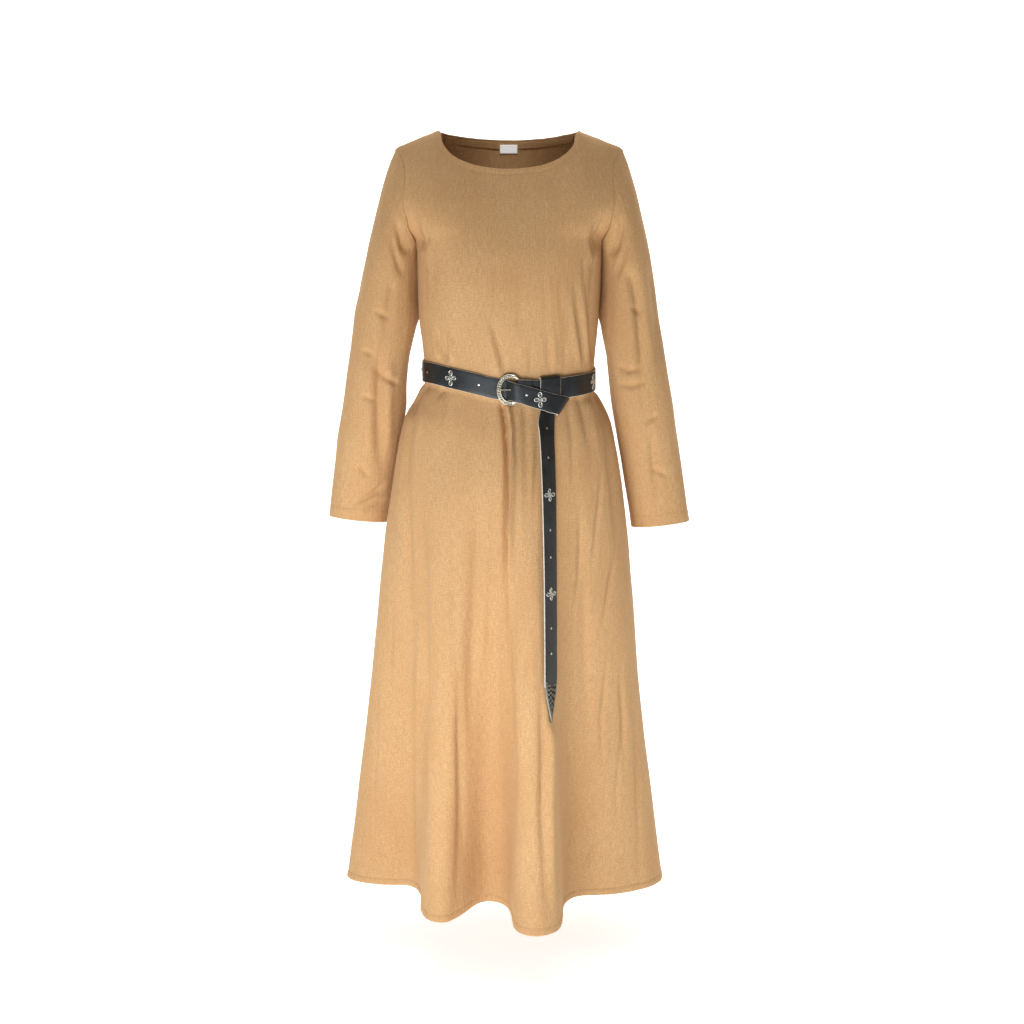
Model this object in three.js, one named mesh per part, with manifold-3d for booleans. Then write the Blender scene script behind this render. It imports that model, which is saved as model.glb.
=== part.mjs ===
// A long medieval underdress, filled out as if worn, with its own knotted leather belt.
// Millimetres. +Z up, the front looks along -Y, +X is on the right of someone facing the front.
// The origin is midway between the two neck points of the shoulder seams.
// An angle round the body is 0 at the front centre, 90 at the +X side seam, 180 at the back.

import * as THREE from 'three';
import Module from 'manifold-3d';
import { mergeVertices } from 'three/addons/utils/BufferGeometryUtils.js';

const wasm = await Module();
wasm.setup();

// ---------- Driving sizes ----------

const clothWall = 1.6;
const seamGap = 0.3;
const neckHalf = 122;          // neck point, out from the centre
const frontNeckDrop = 70;
const backNeckDrop = 9;
const backNeckRise = 20;       // how far the back of the neck stands above its edge's slope
const neckSquare = 2.2;        // how full the neck's curve is: 2 for an ellipse
const tipHalf = 197;           // shoulder tip, out from the centre
const shoulderSlope = 0.34;
const shoulderRound = 0.0009;
const roofCentre = 325;        // how far below the shoulder the chest reaches its full depth
const roofSide = 140;
const armpitLevel = -190;
const beltLevel = -418;        // mean height of the belt round the waist
const hemLevel = -1325;
const foldTop = -500;          // where the skirt's deep folds begin
const beltWide = 36;
const leather = 2.8;
const leatherGap = 0.4;
const clothClear = 0.9;        // the belt's clearance from the cloth under it
// The buckle: an oval frame whose bar lies at +X.
const buckle = { x: 1.5, halfWide: 21.5, halfHigh: 27, band: 7.6, bar: 4, thick: 3.6, off: 6.4 };
const barX = buckle.x + buckle.halfWide - buckle.bar / 2;
const tabTurn = buckle.bar / 2 + 2.5 * leatherGap + leather / 2;
const prong = { thick: 3, tip: 2 };
const eyeTurn = buckle.bar / 2 + leatherGap + prong.thick / 2;
const strapEndTop = -922;
const strapEndLong = 70;
const strapEndThick = 3.2;
// A cross-shaped belt mount: how far its four petals reach, the waist between them, its metal
// and how far it stands off the strap's bend.
const mount = { reach: 13, waist: 4.6, sharp: 1.6, thick: 1.4, stand: 0.1 };
const facing = { wide: 10, thick: 0.8, below: 2, reach: 0.92 };
const label = { wide: 30, high: 14, thick: 0.6, below: 5 };

// The sleeve cap's direction as it leaves the armhole, from the shoulder tip (top) to the armpit
// (under): lean in degrees below level, and how far it runs that way.
const cap = { topLean: 25, underLean: 84, leftRun: 15, rightRun: 5, underRun: 24, settle: 0.6, steps: 6 };
const armSteps = 9;

// One row per level: half widths, half depths and how square the section is.
const sections = [
  { z: 0, left: 203, right: 205, front: 104, back: 96, square: 2.4 },
  { z: -120, left: 201, right: 203, front: 112, back: 98, square: 2.4 },
  { z: -160, left: 184, right: 186, front: 116, back: 97, square: 2.4 },
  { z: -190, left: 163, right: 165, front: 119, back: 96, square: 2.35 },
  { z: -215, left: 158, right: 161, front: 121, back: 95, square: 2.3 },
  { z: -260, left: 157, right: 159, front: 121, back: 92, square: 2.3 },
  { z: -323, left: 155, right: 156, front: 115, back: 87, square: 2.25 },
  { z: -379, left: 149, right: 151, front: 107, back: 83, square: 2.2 },
  { z: -400, left: 147.5, right: 149, front: 104, back: 81, square: 2.2 },
  { z: -441, left: 147.5, right: 149, front: 104, back: 81, square: 2.2 },
  { z: -450, left: 159, right: 156, front: 106, back: 86, square: 2.2 },
  { z: -470, left: 173, right: 168, front: 112, back: 98, square: 2.2 },
  { z: -500, left: 184, right: 179, front: 121, back: 108, square: 2.2 },
  { z: -604, left: 203, right: 197, front: 144, back: 128, square: 2.15 },
  { z: -700, left: 217.5, right: 209, front: 157, back: 140, square: 2.1 },
  { z: -962, left: 244, right: 230.5, front: 184, back: 166, square: 2.1 },
  { z: -1325, left: 291, right: 275, front: 208, back: 190, square: 2.1 },
];

// How the belt line stands above (+) or below (-) its mean height, by angle round the waist.
const beltLine = [
  { angle: -180, lift: 23 },
  { angle: -90, lift: 7 },
  { angle: -60, lift: 3.6 },
  { angle: -40, lift: -4 },
  { angle: -24, lift: -12.2 },
  { angle: -5, lift: -22.8 },
  { angle: 22, lift: -25 },
  { angle: 42, lift: -19 },
  { angle: 90, lift: -7 },
  { angle: 180, lift: 23 },
];

// How strongly the belt line's dip moves the cloth at each level.
const beltReach = [
  { z: -250, share: 0 },
  { z: -395, share: 1 },
  { z: -450, share: 1 },
  { z: -600, share: 0 },
];

// The skirt's folds at the hem, by angle at the waist; a side is where the hem rounds a side seam.
// steep: 0 where the hem sweeps evenly to the next row, near 1 where it turns square to the body.
const hemFolds = [
  { angle: -90, kind: 'side', x: -291, y: 4, drop: -3, steep: 0 },
  { angle: -58, kind: 'trough', x: -190, y: -54, drop: -4, steep: 0.95 },
  { angle: -29, kind: 'ridge', x: -112, y: -214, drop: 8, steep: 0.15 },
  { angle: -9, kind: 'trough', x: -34, y: -134, drop: -2, steep: 0.9 },
  { angle: 11, kind: 'ridge', x: 45, y: -272, drop: 11, steep: 0.95 },
  { angle: 38, kind: 'trough', x: 138, y: -103, drop: -2, steep: 0 },
  { angle: 90, kind: 'side', x: 276, y: 4, drop: -3, steep: 0 },
  { angle: 118, kind: 'trough', x: 214, y: 112, drop: -3, steep: 0.5 },
  { angle: 138, kind: 'ridge', x: 132, y: 206, drop: 4, steep: 0.5 },
  { angle: 160, kind: 'trough', x: 66, y: 138, drop: -2, steep: 0.5 },
  { angle: 182, kind: 'ridge', x: -12, y: 228, drop: 5, steep: 0.5 },
  { angle: 203, kind: 'trough', x: -84, y: 132, drop: -2, steep: 0.5 },
  { angle: 225, kind: 'ridge', x: -158, y: 200, drop: 4, steep: 0.5 },
  { angle: 246, kind: 'trough', x: -226, y: 104, drop: -3, steep: 0 },
  { angle: 270, kind: 'side', x: -291, y: 4, drop: -3, steep: 0 },
];

// Armhole edges: the angle round the body from the shoulder tip (0) to the armpit (1).
const frontArmhole = [
  { at: 0, angle: 71.5 },
  { at: 0.35, angle: 57.5 },
  { at: 0.6, angle: 61 },
  { at: 0.8, angle: 73 },
  { at: 1, angle: 90 },
];
const backArmhole = [
  { at: 0, angle: 71.5 },
  { at: 0.35, angle: 62 },
  { at: 0.6, angle: 66 },
  { at: 0.8, angle: 75 },
  { at: 1, angle: 90 },
];

// The sleeves below the armhole: the ring's centre, half width and half depth at each level.
const leftSleeve = [
  { z: -262, x: -211, y: 4, wide: 46.5, deep: 58 },
  { z: -323, x: -218, y: 8, wide: 52, deep: 57 },
  { z: -379, x: -225.5, y: 13, wide: 52, deep: 55 },
  { z: -463, x: -238, y: 22, wide: 53.5, deep: 52 },
  { z: -533, x: -250, y: 30, wide: 53.5, deep: 48 },
  { z: -600, x: -260, y: 38, wide: 52.5, deep: 45 },
  { z: -676.5, x: -269.5, y: 46.5, wide: 52, deep: 43 },
];
const rightSleeve = [
  { z: -262, x: 210.5, y: 3, wide: 43, deep: 58 },
  { z: -323, x: 214.5, y: 5, wide: 48, deep: 57 },
  { z: -379, x: 222, y: 8, wide: 51, deep: 55 },
  { z: -463, x: 234, y: 14, wide: 53, deep: 52 },
  { z: -533, x: 245.5, y: 20, wide: 52, deep: 48 },
  { z: -600, x: 257, y: 26, wide: 51.5, deep: 45 },
  { z: -684, x: 270.5, y: 32.5, wide: 51.5, deep: 43 },
];
const cuffSlope = 0.11;        // the cuff's outer edge stands this much higher, mm per mm
// The fold of spare cloth at the back of the upper sleeve, turned in towards the body.
const innerFold = { turn: 210, narrow: 6 };
const innerFoldReach = [
  { z: -262, reach: 13 },
  { z: -296, reach: 16 },
  { z: -330, reach: 7 },
  { z: -379, reach: 0 },
];

// Rows of the mesh down the panels below the armpit.
const chestRows = [-215, -250, -290, -330, -370, -400];
const skirtRows = [-419, -441, -452, -467, -495, -540, -600, -680, -780, -890, -1000, -1110, -1220];
const armholeSteps = 9;

// ---------- Small helpers ----------

const radians = Math.PI / 180;
const vec = (x, y, z) => new THREE.Vector3(x, y, z);
const mix = (a, b, t) => a + (b - a) * t;
const clamp01 = (t) => Math.min(1, Math.max(0, t));
const smooth = (t) => clamp01(t) * clamp01(t) * (3 - 2 * clamp01(t));

// A smooth, overshoot-free curve through one column of a table, read at a place along another.
function column(rows, by, key, at) {
  const up = rows[rows.length - 1][by] > rows[0][by];
  const last = rows.length - 1;
  let k = 0;
  while (k < last - 1 && (up ? at > rows[k + 1][by] : at < rows[k + 1][by])) k += 1;
  const slope = (i) => (rows[i + 1][key] - rows[i][key]) / (rows[i + 1][by] - rows[i][by]);
  const tangent = (i) => {
    if (i === 0) return slope(0);
    if (i === last) return slope(last - 1);
    const a = slope(i - 1);
    const b = slope(i);
    return a * b <= 0 ? 0 : (2 * a * b) / (a + b);
  };
  const span = rows[k + 1][by] - rows[k][by];
  const t = clamp01((at - rows[k][by]) / span);
  const h01 = t * t * (3 - 2 * t);
  const h10 = t * (1 - t) * (1 - t);
  const h11 = t * t * (t - 1);
  return mix(rows[k][key], rows[k + 1][key], h01) + span * (h10 * tangent(k) + h11 * tangent(k + 1));
}

function solid(positions, faces) {
  let volume = 0;
  for (const [a, b, c] of faces) {
    volume += positions[a].dot(positions[b].clone().cross(positions[c]));
  }
  const index = faces.flatMap(([a, b, c]) => (volume > 0 ? [a, b, c] : [a, c, b]));
  const geometry = new THREE.BufferGeometry();
  const numbers = positions.flatMap((p) => [p.x, p.y, p.z]);
  geometry.setAttribute('position', new THREE.Float32BufferAttribute(numbers, 3));
  geometry.setIndex(index);
  return geometry;
}

// A wall between an outer and an inner grid of points, closed along all its rims.
function wallSolid(outer, inner, tube = false) {
  const rows = outer.length;
  const cols = outer[0].length;
  const positions = [...outer.flat(), ...inner.flat()];
  const out = (r, c) => r * cols + (c % cols);
  const inn = (r, c) => rows * cols + out(r, c);
  const faces = [];
  const quad = (a, b, c, d) => faces.push([a, b, c], [a, c, d]);
  const spans = tube ? cols : cols - 1;
  for (let r = 0; r < rows - 1; r += 1) {
    for (let c = 0; c < spans; c += 1) {
      quad(out(r, c), out(r, c + 1), out(r + 1, c + 1), out(r + 1, c));
      quad(inn(r, c), inn(r + 1, c), inn(r + 1, c + 1), inn(r, c + 1));
    }
  }
  for (let c = 0; c < spans; c += 1) {
    quad(out(0, c), inn(0, c), inn(0, c + 1), out(0, c + 1));
    quad(out(rows - 1, c), out(rows - 1, c + 1), inn(rows - 1, c + 1), inn(rows - 1, c));
  }
  if (!tube) {
    for (let r = 0; r < rows - 1; r += 1) {
      quad(out(r, 0), out(r + 1, 0), inn(r + 1, 0), inn(r, 0));
      quad(out(r, cols - 1), inn(r, cols - 1), inn(r + 1, cols - 1), out(r + 1, cols - 1));
    }
  }
  return solid(positions, faces);
}

// A bar through a row of sections, each a ring of points, closed on itself or capped.
function barSolid(rings, loop = false) {
  const n = rings[0].length;
  const at = (k, i) => (k % rings.length) * n + (i % n);
  const faces = [];
  const spans = loop ? rings.length : rings.length - 1;
  for (let k = 0; k < spans; k += 1) {
    for (let i = 0; i < n; i += 1) {
      faces.push([at(k, i), at(k, i + 1), at(k + 1, i + 1)], [at(k, i), at(k + 1, i + 1), at(k + 1, i)]);
    }
  }
  if (!loop) {
    for (let i = 1; i < n - 1; i += 1) {
      faces.push([at(0, 0), at(0, i + 1), at(0, i)]);
      faces.push([at(rings.length - 1, 0), at(rings.length - 1, i), at(rings.length - 1, i + 1)]);
    }
  }
  return solid(rings.flat(), faces);
}

// The normal of a smooth surface at a point, from its neighbours in both directions.
function gridNormals(grid, tube, outward) {
  return grid.map((row, r) => row.map((point, c) => {
    const n = row.length;
    const west = tube ? row[(c + n - 1) % n] : row[Math.max(0, c - 1)];
    const east = tube ? row[(c + 1) % n] : row[Math.min(n - 1, c + 1)];
    const above = grid[Math.max(0, r - 1)][c];
    const below = grid[Math.min(grid.length - 1, r + 1)][c];
    const normal = east.clone().sub(west).cross(below.clone().sub(above)).normalize();
    return normal.dot(outward(point, r, c)) < 0 ? normal.negate() : normal;
  }));
}

const offset = (grid, normals, by) =>
  grid.map((row, r) => row.map((p, c) => p.clone().addScaledVector(normals[r][c], by)));

// ---------- The dress's outer form ----------

const ridgeHeight = (x) => {
  const past = Math.max(0, Math.abs(x) - neckHalf);
  return -shoulderSlope * past - shoulderRound * past * past;
};

const neckCurve = (x) =>
  Math.max(0, 1 - Math.abs(x / neckHalf) ** neckSquare) ** (1 / neckSquare);

// The angle whose point on a section lies at this share of its half width.
function angleAt(share, square) {
  const rest = (1 - Math.abs(share) ** square) ** (1 / square);
  return Math.atan2(share, rest) / radians;
}

// The upper body turns in to the shoulder seam like a rounded roof.
function roof(x, z, back) {
  const rise = back ? backNeckRise * neckCurve(x) ** 2 : 0;
  const below = Math.max(0, ridgeHeight(x) + rise - z);
  const high = back ? mix(150, roofSide, smooth(Math.abs(x) / neckHalf)) : mix(roofCentre, roofSide,
    smooth(Math.abs(x) / tipHalf));
  const short = Math.max(0, 1 - below / high);
  return Math.sqrt(1 - short * short);
}

function ringPoint(angle, level) {
  const s = Math.sin(angle * radians);
  const c = Math.cos(angle * radians);
  const square = column(sections, 'z', 'square', level);
  const far = (Math.abs(s) ** square + Math.abs(c) ** square) ** (1 / square);
  const wide = column(sections, 'z', s < 0 ? 'left' : 'right', level);
  const deep = column(sections, 'z', c < 0 ? 'back' : 'front', level);
  return vec((wide * s) / far, (-deep * c) / far, level);
}

// Between two neighbouring rows of the fold table the hem sweeps from trough to ridge.
function hemPoint(angle) {
  const turned = angle < -90 ? angle + 360 : angle;
  let k = 0;
  while (k < hemFolds.length - 2 && turned > hemFolds[k + 1].angle) k += 1;
  const from = hemFolds[k];
  const to = hemFolds[k + 1];
  const t = clamp01((turned - from.angle) / (to.angle - from.angle));
  let across = t;
  let outward = smooth(t);
  if (from.kind === 'side') {
    across = 1 - Math.cos((t * Math.PI) / 2);
    outward = Math.sin((t * Math.PI) / 2);
  } else if (to.kind === 'side') {
    across = Math.sin((t * Math.PI) / 2);
    outward = 1 - Math.cos((t * Math.PI) / 2);
  } else {
    across = t + (from.steep * Math.sin(2 * Math.PI * t)) / (2 * Math.PI);
  }
  const drop = mix(from.drop, to.drop, smooth(t));
  return vec(mix(from.x, to.x, across), mix(from.y, to.y, outward), hemLevel - drop);
}

const foldGrowth = (level) => clamp01((foldTop - level) / (foldTop - hemLevel)) ** 1.25;

function beltLift(angle) {
  const turned = ((((angle + 180) % 360) + 360) % 360) - 180;
  return column(beltLine, 'angle', 'lift', turned);
}

// The outer surface of the dress at an angle round the body and a level down it.
function dressPoint(angle, level) {
  const p = ringPoint(angle, level);
  p.z = level + beltLift(angle) * column(beltReach, 'z', 'share', level);
  const back = Math.cos(angle * radians) < 0;
  p.y *= roof(p.x, p.z, back);
  const growth = foldGrowth(level);
  if (growth > 0) {
    const shift = hemPoint(angle).sub(ringPoint(angle, hemLevel));
    p.addScaledVector(shift, growth);
  }
  return p;
}

// ---------- Front and back panels ----------

// The columns' places along the top edge, shoulder tip to shoulder tip, as a share of the armhole's angle.
function topColumns(shoulderCount, neckCount, tipAngle) {
  const square = sections[0].square;
  const places = [];
  const formHalf = sections[0].left;
  for (let k = 0; k <= shoulderCount; k += 1) places.push(mix(-tipHalf, -neckHalf, k / shoulderCount));
  for (let k = 1; k < neckCount; k += 1) places.push(-neckHalf * Math.cos((Math.PI * k) / neckCount));
  for (let k = 0; k <= shoulderCount; k += 1) places.push(mix(neckHalf, tipHalf, k / shoulderCount));
  return places.map((x) => angleAt(x / formHalf, square) / tipAngle);
}

function panelGrid({ back, shoulderCount, neckCount, armhole }) {
  const tipAngle = armhole[0].angle;
  const top = topColumns(shoulderCount, neckCount, tipAngle);
  const last = top.length - 1;
  const neckDrop = back ? backNeckDrop : frontNeckDrop;
  const turn = (angle) => (back ? 180 - angle : angle);
  const grid = [];
  for (let r = 0; r <= armholeSteps; r += 1) {
    const at = r / armholeSteps;
    const down = (1 - Math.cos(Math.PI * at)) / 2;
    const edge = column(armhole, 'at', 'angle', at);
    grid.push(top.map((share, c) => {
      const x = ringPoint(share * tipAngle, 0).x;
      const topLevel = Math.abs(x) < neckHalf ? -neckDrop * neckCurve(x) : ridgeHeight(x);
      const even = mix(-1, 1, c / last);
      const angle = turn(edge * mix(share, even, smooth(at)));
      return dressPoint(angle, mix(topLevel, armpitLevel, down));
    }));
  }
  for (const level of [...chestRows, ...skirtRows, hemLevel]) {
    grid.push(top.map((_, c) => dressPoint(turn(mix(-90, 90, c / last)), level)));
  }
  return grid;
}

function dressPanel(options) {
  const grid = panelGrid(options);
  const forward = options.back ? 1 : -1;
  const onShoulder = (c) => Math.min(c, grid[0].length - 1 - c) <= options.shoulderCount;
  grid[0].forEach((p, c) => { if (onShoulder(c)) p.y = 0; });  // both panels end on the seam's line
  for (const row of grid) for (const p of row) p.y += (forward * seamGap) / 2;
  const normals = gridNormals(grid, false, (p) => vec(p.x * 0.2, forward * 40, 10));
  grid.forEach((row, r) => {
    const ends = [0, row.length - 1];
    for (const c of ends) {
      if (r > armholeSteps - 1) normals[r][c].setY(0).normalize();
    }
  });
  normals[0].forEach((normal, c) => {
    if (onShoulder(c)) normal.set(normal.x, 0, Math.abs(normal.z)).normalize();
  });
  const inner = offset(grid, normals, -clothWall);
  return { geometry: wallSolid(grid, inner), grid, normals };
}

const frontPanel = dressPanel({ back: false, shoulderCount: 5, neckCount: 26, armhole: frontArmhole });
const backPanel = dressPanel({ back: true, shoulderCount: 5, neckCount: 18, armhole: backArmhole });

// ---------- Sleeves ----------

function sleeveRing(table, level, count) {
  const x = column(table, 'z', 'x', level);
  const y = column(table, 'z', 'y', level);
  const wide = column(table, 'z', 'wide', level);
  const deep = column(table, 'z', 'deep', level);
  const side = Math.sign(x);
  const reach = column(innerFoldReach, 'z', 'reach', level);
  const ring = [];
  for (let k = 0; k < count; k += 1) {
    const turn = (2 * Math.PI * k) / count;
    const fold = Math.max(0, Math.cos(turn - innerFold.turn * radians)) ** innerFold.narrow;
    const out = side * (wide * Math.cos(turn) - reach * fold);
    ring.push(vec(x + out, y - deep * Math.sin(turn), level + cuffSlope * side * out));
  }
  return ring;
}

// The armhole's loop of points from the shoulder tip down the front edge and up the back edge,
// each with the panel's normal and the direction in which the panel's cloth would run on.
function armholeLoop(side) {
  const edge = (panel) => {
    const last = panel.grid[0].length - 1;
    const rows = panel.grid.slice(0, armholeSteps + 1);
    return rows.map((row, r) => {
      const [p, within] = side < 0 ? [row[0], row[1]] : [row[last], row[last - 1]];
      return { p, n: panel.normals[r][side < 0 ? 0 : last], away: p.clone().sub(within) };
    });
  };
  const front = edge(frontPanel);
  const back = edge(backPanel).reverse();
  const loop = [...front.slice(0, -1), ...back.slice(0, -1)];
  return loop.map((point, k) => {
    const before = loop[(k + loop.length - 1) % loop.length].p;
    const after = loop[(k + 1) % loop.length].p;
    const on = after.clone().sub(before).cross(point.n).normalize();
    const upward = k === armholeSteps ? vec(0, 0, 1) : point.away;
    return { ...point, on: on.dot(upward) < 0 ? on.negate() : on };
  });
}

function sleeve(table) {
  const side = Math.sign(table[0].x);
  const loop = armholeLoop(side);
  const count = loop.length;
  const first = sleeveRing(table, table[0].z, count);
  const next = sleeveRing(table, mix(table[0].z, table[1].z, 0.5), count);
  const capRow = (t) => loop.map(({ p, n, on }, k) => {
    const under = (1 - Math.cos((2 * Math.PI * k) / count)) / 2;
    const lean = mix(cap.topLean, cap.underLean, smooth(under)) * radians;
    const leave = vec(side * Math.cos(lean), 0, -Math.sin(lean));
    const start = p.clone().addScaledVector(on, 1.3 * seamGap).addScaledVector(n, 2 * seamGap * under);
    const reach = start.distanceTo(first[k]);
    const run = mix(side < 0 ? cap.leftRun : cap.rightRun, cap.underRun, under);
    const a = start.clone().addScaledVector(leave, run);
    const down = next[k].clone().sub(first[k]).normalize();
    const b = first[k].clone().addScaledVector(down, -cap.settle * reach);
    const s = 1 - t;
    return start.multiplyScalar(s * s * s).addScaledVector(a, 3 * s * s * t)
      .addScaledVector(b, 3 * s * t * t).addScaledVector(first[k], t * t * t);
  });
  const rows = [];
  for (let r = 0; r <= cap.steps; r += 1) rows.push(capRow(r / cap.steps));
  const cuff = table[table.length - 1].z;
  for (let r = 1; r <= armSteps; r += 1) {
    rows.push(sleeveRing(table, mix(table[0].z, cuff, r / armSteps), count));
  }
  const centre = (row) => row.reduce((sum, q) => sum.add(q), vec(0, 0, 0)).divideScalar(count);
  const heart = (p, r) => p.clone().sub(centre(rows[r]));
  const normals = gridNormals(rows, true, heart);
  loop.forEach(({ on }, k) => {
    const into = normals[0][k].dot(on);
    if (into > 0) normals[0][k].addScaledVector(on, -into).normalize();
  });
  return wallSolid(rows, offset(rows, normals, -clothWall), true);
}

// ---------- Neck facing and label, on the inside of the back ----------

// A strip that lies on the back panel's inner face, or on what lies there already, between two
// depths below the neck edge.
function insideStrip(from, to, high, low, thick, steps, under = 0) {
  const rows = [0, 1 / 3, 2 / 3, 1].map((share) => {
    const row = [];
    for (let k = 0; k <= steps; k += 1) {
      const x = mix(from, to, k / steps);
      const topLevel = -backNeckDrop * neckCurve(x);
      const angle = 180 - angleAt(x / sections[0].left, sections[0].square);
      row.push(dressPoint(angle, topLevel - mix(high, low, share)));
    }
    return row;
  });
  for (const row of rows) for (const p of row) p.y += seamGap / 2;
  const normals = gridNormals(rows, false, () => vec(0, 40, 10));
  const near = offset(rows, normals, -(clothWall + 4 * seamGap + under));
  return wallSolid(near, offset(near, normals, -thick));
}

// ---------- Belt ----------

const waistHalf = (x) => column(sections, 'z', x < 0 ? 'left' : 'right', beltLevel);

// A place on the belt line: how far round, how high on the strap and how far off the cloth.
function beltPoint(angle, high, off) {
  const p = ringPoint(angle, beltLevel);
  const before = ringPoint(angle - 1, beltLevel);
  const after = ringPoint(angle + 1, beltLevel);
  const outward = vec(after.y - before.y, before.x - after.x, 0).normalize();
  p.addScaledVector(outward, off);
  p.z = beltLevel + beltLift(angle) + high;
  return p;
}

const beltAngle = (x) => angleAt(x / waistHalf(x), 2.2);

// The dress's outer surface at an angle and a true height, with the belt line's dip undone.
function dressAt(angle, z) {
  let level = z;
  for (let k = 0; k < 6; k += 1) level += z - dressPoint(angle, level).z;
  return dressPoint(angle, level);
}

// The front of the dress at a place across and a height, found by halving its ring.
function dressFrontY(x, z) {
  let low = -90;
  let high = 90;
  for (let k = 0; k < 20; k += 1) {
    const middle = (low + high) / 2;
    if (dressAt(middle, z).x < x) low = middle; else high = middle;
  }
  return dressAt((low + high) / 2, z).y;
}

// The middle of a layer of strap, out from the cloth, counted from the innermost.
const layer = (count) => clothClear + leather / 2 + count * (leather + leatherGap);

// A place on the front of the belt, pushed out where the skirt swells under its layers.
function frontPoint(x, high, off, under = 0) {
  const p = beltPoint(beltAngle(x), high, off);
  if (high < -beltWide / 2) p.y = Math.min(p.y, dressFrontY(p.x, p.z) - 1.1 * layer(under));
  return p;
}

// A strap through pairs of edge points, and the middle between them where it bends across.
function strap(pairs, thick = leather) {
  const rings = pairs.map(({ a, b, m }, k) => {
    const before = pairs[Math.max(0, k - 1)];
    const after = pairs[Math.min(pairs.length - 1, k + 1)];
    const run = after.a.clone().add(after.b).sub(before.a).sub(before.b);
    const normal = run.cross(a.clone().sub(b)).normalize().multiplyScalar(thick / 2);
    const middle = m ?? a.clone().lerp(b, 0.5);
    const front = [a, middle, b].map((p) => p.clone().add(normal));
    return [...front, ...[b, middle, a].map((p) => p.clone().sub(normal))];
  });
  return barSolid(rings);
}

// The waist strap, by angle. It stands off the cloth where the knot's strap passes behind it.
const loopOff = [
  { angle: 12, off: layer(0) },
  { angle: 19, off: layer(1.25) },
  { angle: 46, off: layer(1.25) },
  { angle: 62, off: layer(0) },
  { angle: 350, off: layer(0) },
];

// Its own end is folded round the buckle's bar; the rest runs right round to the buckle.
function beltLoop() {
  const half = beltWide / 2;
  const pairs = [];
  const add = (x, off) => pairs.push({ a: frontPoint(x, half, off), b: frontPoint(x, -half, off) });
  for (const past of [17, 8, 0]) add(barX + past, buckle.off + tabTurn);
  for (const turn of [40, 90, 140]) {
    add(barX - 2.2 - tabTurn * Math.sin(turn * radians), buckle.off + tabTurn * Math.cos(turn * radians));
  }
  const startAngle = beltAngle(barX + 2);
  const endAngle = 360 + beltAngle(-14);
  const steps = 56;
  for (let k = 0; k <= steps; k += 1) {
    const angle = mix(startAngle, endAngle, k / steps);
    const off = column(loopOff, 'angle', 'off', angle);
    pairs.push({ a: beltPoint(angle, half, off), b: beltPoint(angle, -half, off) });
  }
  return strap(pairs);
}

// The strap from the buckle across to the slanting fold and round under the belt, by its two
// edges: x along the front, high above the belt line, off the waist, over how many layers.
const crossing = [
  { topX: -11, topHigh: 18, topOff: 2.4, lowX: -10.5, lowHigh: -18, lowOff: 2.4, under: 0 },
  { topX: -4, topHigh: 16.5, topOff: 3, lowX: -3, lowHigh: -18, lowOff: 3, under: 0 },
  { topX: 3, topHigh: 14.5, topOff: 8.4, lowX: 5, lowHigh: -18.6, lowOff: 8.4, under: 0 },
  { topX: 10, topHigh: 12.4, topOff: 13, lowX: 13, lowHigh: -20.8, lowOff: 13, under: 0 },
  { topX: 18, topHigh: 10.4, topOff: 14.6, lowX: 22, lowHigh: -23, lowOff: 14.6, under: 1 },
  { topX: 30, topHigh: 7.4, topOff: 14.6, lowX: 34, lowHigh: -27, lowOff: 14.6, under: 2 },
  { topX: 50, topHigh: 2, topOff: 14.4, lowX: 51, lowHigh: -32, lowOff: 14.6, under: 2.3 },
  { topX: 74, topHigh: -7, topOff: 13.8, lowX: 64, lowHigh: -37, lowOff: 15, under: 2.5 },
  { topX: 93, topHigh: -14.6, topOff: 13.4, lowX: 74, lowHigh: -40.6, lowOff: 15, under: 2.5 },
  { topX: 97.5, topHigh: -20, topOff: 9.6, lowX: 80, lowHigh: -43, lowOff: 10, under: 1.6 },
  { topX: 96, topHigh: -21.2, topOff: 5.4, lowX: 79.5, lowHigh: -44, lowOff: 7, under: 0.8 },
];

// From the fold the strap climbs behind the belt, turns over its top edge and comes down in
// front, under the crossing, by its left and right edges.
const hitch = [
  { leftX: 64, leftHigh: -36, leftOff: 3.6, rightX: 89, rightHigh: -22, rightOff: 2.3, under: 0 },
  { leftX: 60, leftHigh: -18, leftOff: 2.3, rightX: 87, rightHigh: -7, rightOff: 2.3, under: 0 },
  { leftX: 53, leftHigh: 8, leftOff: 2.3, rightX: 85, rightHigh: 14, rightOff: 2.3, under: 0 },
  { leftX: 51, leftHigh: 19.4, leftOff: 2.8, rightX: 84, rightHigh: 20.4, rightOff: 2.8, under: 0 },
  { leftX: 51.5, leftHigh: 21.4, leftOff: 6.2, rightX: 84.5, rightHigh: 22.4, rightOff: 6.2, under: 0 },
  { leftX: 52, leftHigh: 19.4, leftOff: 9.3, rightX: 85, rightHigh: 20.4, rightOff: 9.3, under: 0 },
  { leftX: 52, leftHigh: 14, leftOff: 9.9, rightX: 85, rightHigh: 14.5, rightOff: 9.9, under: 0 },
  { leftX: 51.5, leftHigh: -12, leftOff: 9.9, rightX: 84, rightHigh: -12, rightOff: 9.9, under: 0 },
  { leftX: 51.5, leftHigh: -24, leftOff: 9.9, rightX: 79, rightHigh: -24, rightOff: 9.9, under: 1 },
  { leftX: 51.5, leftHigh: -34, leftOff: 9.9, rightX: 76, rightHigh: -34, rightOff: 9.9, under: 1 },
];

// The hanging end below the crossing: the middle of the strap at each level, its clearance from
// the cloth and how far it is turned about the vertical.
const hangRows = [
  { z: -490, x: 63.5, off: 1, turn: 37 },
  { z: -530, x: 65, off: 2, turn: 47 },
  { z: -600, x: 67.6, off: 1.5, turn: 49 },
  { z: -700, x: 69.4, off: 1.5, turn: 52 },
  { z: -800, x: 70.4, off: 1.5, turn: 54 },
  { z: -1000, x: 71, off: 1.5, turn: 55 },
];

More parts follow.
